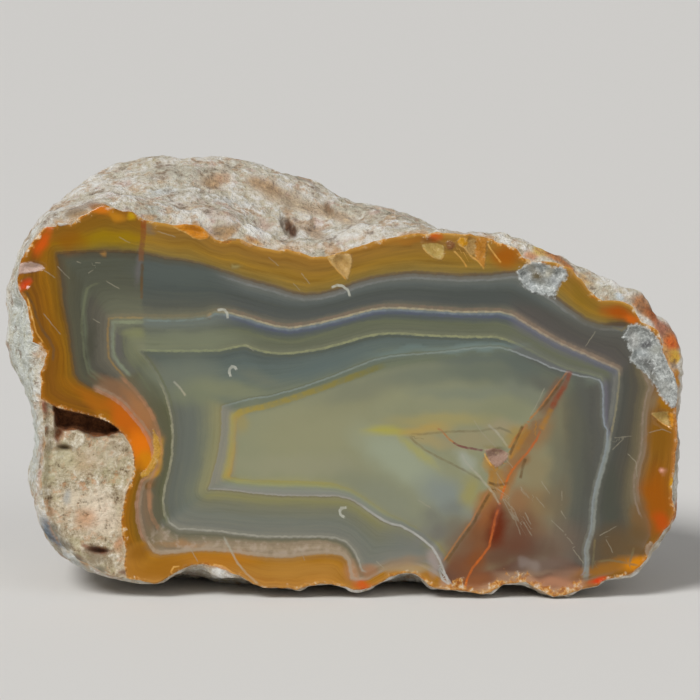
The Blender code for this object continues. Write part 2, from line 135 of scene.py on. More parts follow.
# The crest of the rim, a little behind the cut, as far as it shows beside the cut
RIM_CREST = [
    (58, 210), (48, 212), (38, 224), (30, 236), (24, 246), (19, 258), (16, 272), (14, 285), (16, 296),
    (22, 312), (22, 330), (22, 345), (26, 362), (30, 385), (34, 410), (38, 440), (36, 470), (35, 495),
    (39, 520), (49, 540), (64, 556), (80, 566), (98, 575), (118, 580), (137, 583), (155, 585), (166, 581),
    (176, 574), (188, 568), (200, 566), (213, 574), (230, 577), (244, 580), (257, 586), (270, 589),
    (285, 588), (298, 591), (310, 586), (325, 584), (345, 588), (360, 591), (372, 589), (384, 581),
    (398, 575), (410, 574), (420, 577), (429, 588), (450, 590), (470, 593), (484, 595), (494, 592),
    (505, 584), (526, 583), (540, 595), (552, 598), (568, 596), (580, 591), (597, 588), (607, 581),
    (628, 578), (641, 571), (650, 561), (654, 551), (662, 541), (671, 531), (679, 513), (676, 499),
    (676, 485), (679, 465), (680, 445), (679, 425), (680, 402), (682, 380), (684, 362), (682, 347),
    (678, 337), (671, 328), (667, 322), (660, 319), (656, 315), (653, 306), (648, 298), (639, 291),
    (627, 287), (614, 283), (604, 278), (594, 273), (583, 270), (575, 264), (566, 259), (555, 254),
    (545, 249), (535, 243), (525, 239), (514, 236), (500, 233), (485, 233), (466, 233), (454, 231),
    (440, 229), (420, 226), (400, 226), (380, 225), (362, 224), (348, 227), (335, 234), (318, 240),
    (300, 241), (280, 238), (262, 233), (245, 225), (228, 214), (208, 209), (188, 210), (165, 208),
    (150, 205), (132, 200), (112, 197), (92, 200), (74, 207),
]

# The stone's widest outline, which lies deeper. It is the silhouette on the left and over the hump.
GIRTH_LINE = [
    (405, 214), (386, 204), (361, 194), (334, 183), (320, 177), (306, 169), (283, 165), (266, 159),
    (248, 152), (220, 150), (182, 151), (162, 148), (145, 149), (120, 152), (100, 159), (80, 169),
    (63, 184), (47, 200), (33, 218), (19, 240), (8, 265), (2, 285), (3, 296), (6, 307), (3, 318),
    (0, 327), (2, 342), (6, 362), (12, 378), (21, 397), (25, 420), (27, 443), (25, 460), (20, 475),
    (20, 492), (27, 516), (40, 541), (56, 558), (76, 569), (98, 575), (125, 578), (155, 579), (200, 582),
    (260, 586), (330, 588), (400, 588), (470, 586), (530, 581), (580, 573), (620, 558), (645, 536),
    (660, 510), (668, 480), (671, 440), (671, 400), (668, 370), (655, 342), (632, 318), (600, 292),
    (560, 270), (520, 253), (480, 243), (445, 234), (420, 223),
]

# How deep the girth and the crest lie, by angle round the core in degrees, anticlockwise from the right
GIRTH_DEPTH = [
    (-180, 11), (-150, 9), (-110, 13), (-60, 13), (0, 12), (60, 12), (74, 15), (90, 20), (135, 19), (160, 12),
]
RIM_DEPTH = [
    (-180, 1.2), (-130, 1.0), (-90, 0.8), (-30, 1.4), (20, 2.2), (60, 1.8), (80, 3.4), (110, 3.6), (140, 2.4),
    (160, 1.6),
]
BACK_SHIFT = (-24.0, 6.0)  # pixels that the back's middle lies from the core
BACK_ROUNDNESS = 0.75  # 1 for an ellipse's roundness, less for a fuller back

# The round pits over the rind: spacing, radius, and how much noise a cell needs to hold one
PITS = (9 * MM, 3.24 * MM, 0.0)
SMALL_PITS = (2.6 * MM, 1.0 * MM, 0.1)
PIT_DEPTH, PIT_MORE = 0.3 * MM, 0.6 * MM  # at the rim, and how much more at the back

# The agate's edge against the soft rock at its lower left, from the left end down to the base
ROCK_EDGE = [
    (41, 399), (50, 404), (58, 408), (70, 411), (84, 414), (98, 418), (108, 422), (116, 427), (124, 435),
    (131, 446), (134, 458), (134, 468), (131, 480), (126, 493), (123, 507), (121, 521), (122, 536),
    (126, 550), (124, 565), (127, 579),
]
ROCK_REGION = ROCK_EDGE + [(110, 620), (20, 600), (0, 500), (0, 400)]  # closed beyond the stone
ROCK_SETBACK = 1.0 * MM

# Hollows in the face of the rock: middle, half length and half width in pixels, turn in degrees, depth
ROCK_HOLLOWS = [
    (58, 434, 6, 10, 0, 1.0 * MM),
    (98, 551, 14, 4, -6, 1.6 * MM),
    (63, 448, 9, 3, -12, 1.0 * MM),
]

# Pixels over which each relief of the cut sets in: the rock, its cavity below the lip and at its own line,
# the crystals, and all of them beside the edge
ROCK_FADE, LIP_FADE, CAVITY_FADE, CRYSTAL_FADE, EDGE_FADE = 3.0, 2.0, 4.0, 4.0, 6.0

# The cavity that the rock leaves under the agate's lip
ROCK_CAVITY = [
    (52, 404), (60, 408), (72, 410), (84, 412), (98, 414), (108, 418), (117, 424), (124, 433), (117, 433),
    (108, 436), (96, 437), (84, 434), (76, 430), (62, 431), (54, 427),
]
CAVITY_DEPTH = 2.4 * MM

# Patches where fine crystals break the polish
CRYSTAL_PATCHES = [
    [
        (518, 271), (519, 278), (524, 286), (533, 292), (545, 294), (554, 297), (556, 290), (561, 282),
        (567, 276), (566, 270), (560, 267), (553, 269), (548, 266), (541, 263), (533, 262), (526, 266),
    ],
    [
        (630, 326), (624, 337), (629, 340), (628, 346), (633, 351), (631, 359), (637, 366), (645, 372),
        (651, 380), (657, 387), (660, 394), (666, 401), (673, 408), (678, 403), (679, 386), (676, 370),
        (668, 361), (662, 351), (660, 343), (655, 336), (648, 329), (638, 325),
    ],
]
CRYSTAL_SETBACK = 0.8 * MM

# Chips off the sawn edge, and a small cavity in the middle, given in the same way
CHIPS = [
    (497, 455, 13, 8, 12, 0.8 * MM),
    (197, 229, 17, 8, -10, 0.7 * MM),
    (224, 234, 15, 9, 0, 0.9 * MM),
    (341, 262, 16, 8, -60, 0.7 * MM),
    (434, 246, 15, 8, -35, 0.8 * MM),
    (474, 247, 20, 9, -55, 0.7 * MM),
    (664, 419, 12, 9, -30, 0.8 * MM),
    (33, 267, 15, 5, 0, 0.7 * MM),
    (26, 284, 8, 6, 30, 0.3 * MM),
    (649, 553, 6, 9, -25, 0.8 * MM),
]

# Pits and the saddle of the rind above the cut, given in the same way
RIND_HOLLOWS = [
    (288, 224, 19, 8, -62, 2.4 * MM),
    (262, 221, 11, 7, -30, 0.9 * MM),
    (315, 223, 12, 7, 10, 1.0 * MM),
    (331, 204, 11, 6, -55, 1.0 * MM),
    (365, 213, 42, 9, -18, 1.1 * MM),
    (205, 178, 18, 9, 5, 0.5 * MM),
    (14, 306, 9, 8, 0, 1.1 * MM),
]

# The right side of the inner bands, where their lines run beside each other
RIGHT_SIDE = [
    (608, 450), (605.6, 460), (602.8, 470), (599.8, 480), (597.4, 490), (595.6, 500), (594.6, 510),
    (594, 520), (593.2, 530), (590, 540), (587, 550), (588.2, 560), (587.4, 570),
]


def moved(line, right):
    """A line of pixels moved to the right."""
    return [(x + right, y) for x, y in line]


# The bands of the agate grew inward from its edge. Each line is where one kind of band ends, outermost first.
BAND_LINES = {
    "band1": [
        (57, 254), (75, 253), (90, 252), (115, 252), (135, 253), (150, 255), (165, 259), (185, 261),
        (200, 264), (215, 269), (230, 274), (245, 279), (260, 283), (275, 287), (290, 292), (305, 295),
        (320, 294), (333, 291), (345, 287), (355, 283), (370, 279), (385, 276), (400, 274), (415, 273),
        (430, 274), (460, 276), (490, 275), (505, 273), (518, 272), (530, 282), (545, 291), (555, 297),
        (565, 305), (575, 312), (585, 319), (595, 323), (605, 325), (620, 325), (632, 326), (638, 345),
        (646, 368), (655, 387), (651, 397), (648, 412), (647, 425), (647, 440), (645, 455), (641, 468),
        (639, 480), (638.5, 490), (640, 500), (643, 510), (647, 518), (651, 526), (650, 535), (645, 545),
        (638, 556), (628, 564), (612, 573), (600, 578), (585, 580), (570, 585), (553, 588), (540, 583),
        (528, 573), (515, 573), (503, 575), (492, 582), (480, 585), (465, 584), (450, 581), (440, 578),
        (428, 570), (418, 566), (405, 564), (392, 567), (380, 573), (368, 580), (357, 582), (350, 580),
        (348, 572), (347, 562), (342, 556), (332, 554.5), (320, 554.5), (305, 556), (292, 558), (280, 558.5),
        (262, 557.5), (250, 556), (235, 554), (220, 552), (205, 551.5), (190, 552), (175, 554), (160, 555.5),
        (152, 552.5), (147, 545), (141, 533), (138, 520), (137, 505), (139, 492), (142, 482), (150, 474),
        (154, 462), (153, 450), (150, 442), (147, 435), (140, 424), (132, 415), (122, 404), (112, 397),
        (100, 391), (90, 387), (80, 381), (75, 373), (73, 360), (71, 345), (69, 330), (66, 315), (63, 300),
        (62, 285), (60, 270),
    ],
    "band2": [
        (108, 318), (115, 317), (140, 317), (165, 318), (190, 317), (205, 315), (215, 311), (230, 312),
        (245, 316), (260, 321), (275, 325), (290, 327), (305, 325), (320, 322), (340, 317), (355, 313),
        (370, 309), (385, 307), (400, 307), (430, 309), (460, 311), (485, 311), (500, 311), (512, 314),
        (525, 322), (540, 331), (555, 340), (570, 347), (585, 353.5), (600, 360.5), (612, 365.5),
        (620, 369.5), (620, 378), (618.5, 395), (616.5, 411), (614, 424), (611.8, 433), (610.8, 441),
        *moved(RIGHT_SIDE[:9], 1.2), (591, 540), (588, 550), (589.4, 560), (588.6, 570), (586, 577),
        (570, 582), (553, 585), (541, 580), (529, 570), (515, 570), (503, 572), (492, 579), (480, 582),
        (465, 581), (450, 578), (441, 574), (429, 567), (418, 563), (405, 561), (391, 564), (379, 570),
        (367, 577), (360, 578), (357, 570), (353, 560), (347, 551), (338, 545), (325, 541), (310, 541),
        (300, 542), (280, 543), (260, 542.5), (240, 541.5), (220, 541), (205, 540.5), (190, 541), (178, 541),
        (168, 536), (160, 528), (154, 518), (151, 506), (150, 495), (151, 484), (156, 474), (161, 463),
        (163, 450), (161, 438), (158, 425), (152, 412), (145, 400), (135, 388), (125, 378), (115, 368),
        (108, 358), (107, 345), (107, 330),
    ],
    "band3": [
        (138, 350), (160, 351), (200, 351), (220, 350.5), (235, 347), (245, 345.5), (255, 349), (265, 352),
        (280, 353.5), (300, 352.5), (320, 349), (340, 344), (355, 339.5), (370, 335.5), (385, 333.5),
        (400, 333.5), (420, 335), (440, 336), (470, 337), (495, 337), (510, 341), (525, 348), (540, 356),
        (555, 363.5), (565, 368), (577, 371), (590, 374), (601, 377.5), (604.5, 384), (605.5, 395),
        (605.5, 405), (605.5, 415), (607, 425), (609, 430), (611, 433.5), (609.4, 441),
        *RIGHT_SIDE, (584.6, 576), (570, 580),
        (553, 583), (542, 578), (530, 568), (515, 568), (503, 570), (492, 577), (480, 580), (465, 579),
        (450, 576), (442, 572), (430, 564), (418, 560), (405, 558), (391, 561), (378, 567), (366, 573),
        (361, 572), (358, 562), (353, 551), (346, 543), (335, 539), (320, 537.5), (300, 538), (280, 538),
        (260, 537.5), (240, 535.5), (225, 533), (205, 531.5), (190, 530.5), (178, 530), (168, 523),
        (164, 512), (163, 500), (165, 487), (169, 472), (172, 455), (173, 435), (171, 415), (166, 395),
        (158, 378), (148, 362),
    ],
    "band4": [
        (221.5, 406), (228, 404.5), (235, 402.5), (240, 401), (250, 398.5), (260, 397), (270, 396),
        (280, 393), (290, 390.5), (300, 387.5), (320, 380.5), (340, 373), (360, 365), (370, 361), (380, 358),
        (390, 356), (405, 354.5), (420, 353.5), (440, 352), (460, 349.5), (475, 347.5), (490, 346.5),
        (500, 347), (510, 349.5), (520, 353.5), (530, 357.5), (540, 361.5), (550, 366.5), (563, 370.5),
        (580, 375.5), (592, 377.5), (599, 379.5), (602, 384), (603.5, 394), (603.5, 405), (603.5, 415),
        (605, 425), (608, 431), (607.4, 441), *moved(RIGHT_SIDE, -2.0), (582.6, 575),
        (570, 578), (553, 581), (543, 576), (531, 566), (515, 566),
        (503, 568), (492, 575), (480, 578), (468, 581), (456, 591), (447, 577), (442.5, 568), (439.5, 560),
        (436, 553), (432, 547.5), (424, 541), (414, 533.5), (402, 526.5), (392, 524.5), (382, 520.5),
        (372, 513.5), (362, 506), (350, 499), (335, 496), (310, 496), (280, 495.5), (255, 493.5),
        (240, 491.5), (220, 489.5), (208, 489.5), (211, 480), (214.5, 468), (218, 455), (220, 442),
        (221.5, 430),
    ],
    "band5": [
        (238, 419), (250, 413), (260, 410), (270, 408), (280, 405), (290, 402), (300, 398.5), (310, 395),
        (320, 391.5), (330, 388), (340, 384.5), (350, 381), (360, 377.5), (380, 371), (400, 367), (430, 363),
        (460, 361), (490, 361), (520, 366), (545, 377), (560, 388), (563, 400), (565, 430), (565, 460),
        (560, 490), (555, 520), (552, 545), (548, 563), (520, 560), (490, 572), (466, 572), (452, 560),
        (440, 543), (425, 531), (405, 520), (390, 513), (378, 505), (365, 496.5), (350, 487.5), (335, 482.5),
        (320, 480.5), (300, 479.5), (280, 479.5), (260, 479), (240, 478), (231.5, 476), (233.5, 470),
        (235, 460), (236.5, 450), (237, 440), (238, 430),
    ],
}

# The bands look different in parts of the cut. Each line closes off one part, and the number is how softly
# that part passes into those before it. What no line closes off is called above.
SECTORS = {
    "beside_crack": (44.0, [(80, 140), (226, 140), (226, 400), (80, 400)]),
    "upper_left": (3.0, [(0, 180), (145, 180), (144, 265), (142, 300), (146, 360), (0, 360)]),
    "left": (12.0, [
        (0, 200), (57, 250), (110, 318), (138, 350), (221, 404), (300, 440), (233, 478), (208, 491),
        (165, 522), (135, 545), (0, 620),
    ]),
    "below": (12.0, [
        (0, 620), (135, 545), (165, 522), (208, 491), (233, 478), (300, 440), (420, 470), (460, 520),
        (520, 560), (585, 590), (600, 700),
    ]),
    "right": (12.0, [
        (700, 310), (640, 340), (616, 370), (600, 379), (540, 410), (490, 440), (420, 470), (460, 520),
        (520, 560), (585, 590), (600, 700), (700, 700),
    ]),
    "corner": (16.0, [(512, 296), (570, 316), (645, 335), (628, 366), (603, 381), (560, 378), (512, 360)]),
    "low_left": (7.0, [
        (94, 386), (140, 372), (162, 386), (178, 420), (176, 470), (166, 514), (152, 540), (110, 545),
        (100, 480),
    ]),
    "foot": (7.0, [(438, 600), (441, 574), (452, 561), (500, 553), (556, 555), (582, 566), (584, 600)]),
}

# Colours through each band from its outer to its inner line: share of the way, colour as seen
YELLOW_BAND = {
    "above": [(0.0, (176, 130, 58)), (0.12, (144, 104, 40)), (0.35, (134, 100, 42)), (0.6, (142, 108, 38)),
              (0.88, (128, 106, 52)), (1.0, (104, 92, 70))],
    "upper_left": [(0.0, (140, 92, 26)), (0.2, (126, 88, 22)), (0.4, (128, 94, 26)), (0.6, (138, 106, 12)),
                   (0.85, (122, 102, 38)), (1.0, (98, 84, 58))],
    "left": [(0.0, (150, 92, 12)), (0.15, (128, 82, 12)), (0.3, (120, 76, 16)), (0.58, (136, 90, 10)),
             (0.85, (124, 88, 18)), (1.0, (96, 74, 44))],
    "below": [(0.0, (178, 128, 62)), (0.2, (168, 116, 46)), (0.5, (160, 111, 38)), (0.8, (158, 108, 26)),
              (1.0, (150, 112, 60))],
    "right": [(0.0, (170, 110, 50)), (0.15, (140, 92, 26)), (0.45, (130, 86, 18)), (0.75, (126, 86, 26)),
              (1.0, (118, 92, 62))],
    "corner": [(0.0, (132, 100, 60)), (0.2, (118, 92, 40)), (0.6, (124, 98, 34)), (1.0, (110, 98, 68))],
    "low_left": [(0.0, (168, 110, 26)), (0.2, (148, 94, 12)), (0.6, (128, 88, 14)), (0.85, (116, 84, 24)),
                 (1.0, (112, 88, 56))],
    "foot": [(0.0, (176, 120, 60)), (0.3, (170, 130, 96)), (0.7, (164, 128, 102)), (1.0, (146, 112, 88))],
}
SLATE_BAND = {
    "above": [(0.0, (98, 92, 80)), (0.1, (104, 106, 100)), (0.3, (88, 93, 90)), (0.48, (76, 80, 76)),
              (0.75, (80, 83, 80)), (1.0, (112, 106, 90))],
    "upper_left": [(0.0, (76, 70, 56)), (0.12, (80, 82, 70)), (0.5, (82, 83, 70)), (0.86, (100, 101, 84)),
                   (1.0, (112, 108, 88))],
    "beside_crack": [(0.0, (84, 80, 66)), (0.12, (80, 86, 82)), (0.5, (76, 82, 78)), (0.8, (84, 86, 78)),
                     (1.0, (108, 106, 88))],
    "left": [(0.0, (84, 72, 52)), (0.12, (82, 80, 64)), (0.34, (77, 77, 64)), (0.43, (95, 99, 81)),
             (0.52, (79, 77, 68)), (0.95, (98, 94, 82)), (1.0, (108, 98, 78))],
    "below": [(0.0, (148, 120, 88)), (0.2, (150, 134, 112)), (0.34, (143, 127, 106)), (0.55, (154, 138, 115)),
              (1.0, (132, 117, 96))],
    "right": [(0.0, (130, 108, 88)), (0.12, (117, 104, 82)), (0.3, (98, 90, 70)), (0.5, (80, 76, 66)),
              (0.85, (76, 76, 70)), (1.0, (92, 92, 84))],
    "corner": [(0.0, (100, 92, 74)), (0.15, (88, 88, 82)), (0.5, (80, 78, 73)), (0.8, (84, 80, 76)),
               (1.0, (116, 104, 92))],
    "low_left": [(0.0, (142, 108, 84)), (0.3, (112, 98, 80)), (0.6, (118, 98, 76)), (1.0, (104, 92, 72))],
    "foot": [(0.0, (142, 110, 86)), (0.5, (118, 86, 68)), (1.0, (102, 74, 58))],
}
STEEL_BAND = {
    "above": [(0.0, (116, 117, 108)), (0.1, (100, 108, 109)), (0.22, (82, 88, 92)), (0.36, (84, 89, 84)),
              (0.5, (97, 101, 82)), (0.8, (98, 101, 84)), (1.0, (112, 114, 94))],
    "upper_left": [(0.0, (112, 112, 90)), (0.13, (112, 116, 98)), (0.28, (99, 101, 87)),
                   (0.6, (112, 114, 92)), (1.0, (120, 122, 100))],
    "beside_crack": [(0.0, (106, 108, 94)), (0.2, (104, 110, 102)), (0.4, (98, 102, 90)),
                     (0.7, (112, 116, 95)), (1.0, (114, 118, 97))],
    "left": [(0.0, (102, 96, 80)), (0.12, (102, 100, 86)), (0.19, (118, 124, 98)), (0.28, (94, 94, 84)),
             (0.5, (88, 88, 80)), (0.65, (97, 100, 82)), (1.0, (106, 108, 84))],
    "below": [(0.0, (132, 121, 98)), (0.3, (116, 108, 88)), (0.6, (102, 99, 82)), (1.0, (112, 110, 98))],
    "right": [(0.0, (112, 112, 102)), (0.3, (102, 102, 98)), (0.7, (86, 86, 86)), (1.0, (98, 96, 104))],
    "corner": [(0.0, (118, 114, 108)), (0.2, (98, 98, 102)), (0.6, (98, 101, 84)), (1.0, (104, 106, 96))],
    "low_left": [(0.0, (104, 94, 74)), (0.3, (90, 86, 66)), (0.7, (86, 86, 64)), (1.0, (98, 98, 74))],
    "foot": [(0.0, (102, 74, 58)), (1.0, (96, 70, 56))],
}
TEAL_BAND = {
    "above": [(0.0, (90, 95, 86)), (0.12, (82, 90, 86)), (0.3, (90, 100, 96)), (0.6, (94, 104, 98)),
              (0.85, (104, 111, 98)), (1.0, (108, 114, 98))],
    "left": [(0.0, (98, 98, 84)), (0.14, (95, 98, 90)), (0.4, (101, 105, 95)), (0.65, (110, 113, 96)),
             (0.85, (129, 127, 96)), (1.0, (134, 129, 94))],
    "below": [(0.0, (128, 126, 114)), (0.14, (112, 113, 104)), (0.4, (110, 113, 103)), (0.7, (114, 114, 94)),
              (0.88, (127, 124, 86)), (1.0, (130, 126, 96))],
    "right": [(0.0, (98, 98, 102)), (1.0, (112, 117, 118))],
    "corner": [(0.0, (96, 98, 94)), (1.0, (102, 104, 104))],
    "foot": [(0.0, (96, 70, 56)), (1.0, (94, 68, 56))],
}
PALE_BAND = {
    "above": [(0.0, (106, 114, 104)), (0.25, (100, 107, 93)), (0.7, (106, 112, 92)), (1.0, (113, 117, 96))],
    "left": [(0.0, (126, 124, 112)), (0.35, (128, 126, 112)), (0.5, (142, 136, 100)), (0.65, (156, 143, 82)),
             (0.88, (160, 134, 70)), (1.0, (140, 128, 98))],
    "below": [(0.0, (130, 128, 118)), (0.3, (126, 129, 119)), (0.5, (128, 132, 112)), (0.68, (142, 142, 98)),
              (0.88, (144, 138, 86)), (1.0, (140, 138, 102))],
    "right": [(0.0, (106, 110, 104)), (0.1, (86, 86, 80)), (0.3, (82, 82, 76)), (0.58, (90, 90, 80)),
              (1.0, (112, 108, 88))],
    "corner": [(0.0, (106, 110, 106)), (0.15, (86, 89, 84)), (1.0, (92, 96, 86))],
    "foot": [(0.0, (94, 68, 56)), (1.0, (94, 68, 56))],
}
BANDS = [(YELLOW_BAND, 28.0), (SLATE_BAND, 50.0), (STEEL_BAND, 32.0), (TEAL_BAND, 50.0), (PALE_BAND, 16.0)]
INNER_COLOUR = (133, 134, 107)

# Fine lines along the band lines: line, distance inward and half width in pixels, how soft, how uneven, then
# the colour and the strength in each part of the cut
BAND_TRIM = [
    ("band1", -0.8, 1.0, 1.0, 0.4, {"above": ((92, 76, 62), 0.5), "upper_left": ((76, 58, 40), 0.6),
                                    "beside_crack": ((84, 70, 54), 0.5), "low_left": ((168, 130, 108), 0.6)}),
    ("band1", 2.6, 0.8, 1.4, 0.4, {"above": ((110, 102, 94), 0.4), "left": ((84, 74, 62), 0.3),
                                   "low_left": ((146, 126, 104), 0.6), "below": ((160, 142, 120), 0.7)}),
    ("band1", 4.8, 0.5, 1.1, 0.5, {"above": ((124, 125, 122), 0.55), "corner": ((112, 108, 102), 0.4),
                                   "right": ((142, 124, 108), 0.6)}),
    ("band2", -1.4, 1.2, 1.5, 0.5, {"above": ((132, 110, 92), 0.5), "upper_left": ((120, 110, 85), 0.4),
                                    "beside_crack": ((122, 112, 86), 0.4), "corner": ((142, 122, 102), 0.55),
                                    "low_left": ((170, 122, 88), 0.5)}),
    ("band2", 0.8, 0.5, 1.0, 0.45, {"above": ((172, 160, 128), 0.68), "upper_left": ((142, 124, 86), 0.75),
                                    "beside_crack": ((128, 126, 100), 0.3), "corner": ((160, 144, 120), 0.65),
                                    "left": ((140, 114, 70), 0.7), "right": ((140, 130, 98), 0.6)}),
    ("band2", 3.2, 0.5, 1.2, 0.6, {"above": ((126, 135, 140), 0.55), "upper_left": ((120, 120, 96), 0.2),
                                   "beside_crack": ((118, 130, 124), 0.7), "corner": ((112, 114, 122), 0.4)}),
    ("band2", 5.2, 0.8, 1.8, 0.4, {"above": ((82, 86, 108), 0.45), "upper_left": ((136, 142, 112), 0.6),
                                   "beside_crack": ((100, 108, 104), 0.3), "corner": ((90, 92, 104), 0.45),
                                   "left": ((124, 132, 118), 0.5), "right": ((120, 120, 110), 0.5)}),
    ("band3", 0.0, 0.7, 1.0, 0.4, {"above": ((142, 143, 106), 0.8), "upper_left": ((132, 134, 104), 0.5),
                                   "beside_crack": ((134, 138, 104), 0.7), "corner": ((124, 130, 102), 0.35),
                                   "left": ((118, 120, 98), 0.35), "low_left": ((150, 146, 122), 0.75)}),
    ("band3", 1.4, 0.4, 0.9, 0.4, {"below": ((152, 149, 136), 0.8), "left": ((122, 124, 104), 0.3)}),
    ("band3", 2.8, 0.6, 1.1, 0.3, {"above": ((82, 86, 72), 0.5), "beside_crack": ((92, 98, 82), 0.4),
                                   "left": ((96, 98, 64), 0.45)}),
    ("band4", -0.9, 0.4, 0.8, 0.3, {"above": ((98, 100, 80), 0.4), "left": ((120, 110, 84), 0.4),
                                    "below": ((102, 96, 80), 0.5)}),
    ("band4", 0.4, 0.4, 0.8, 0.3, {"above": ((128, 137, 129), 0.65), "left": ((136, 132, 118), 0.4),
                                   "below": ((150, 146, 138), 0.65), "right": ((134, 140, 148), 0.8),
                                   "corner": ((144, 148, 148), 0.75)}),
]

# Places where the fine lines fade out: how softly in pixels, outline
TRIM_GAPS = [
    (7.0, [
        (365, 566), (374, 553), (390, 545), (410, 541), (430, 546), (441, 560), (444, 574), (440, 600),
        (364, 600),
    ]),
    (9.0, [(590, 536), (618, 526), (646, 514), (672, 506), (680, 600), (590, 600)]),
]

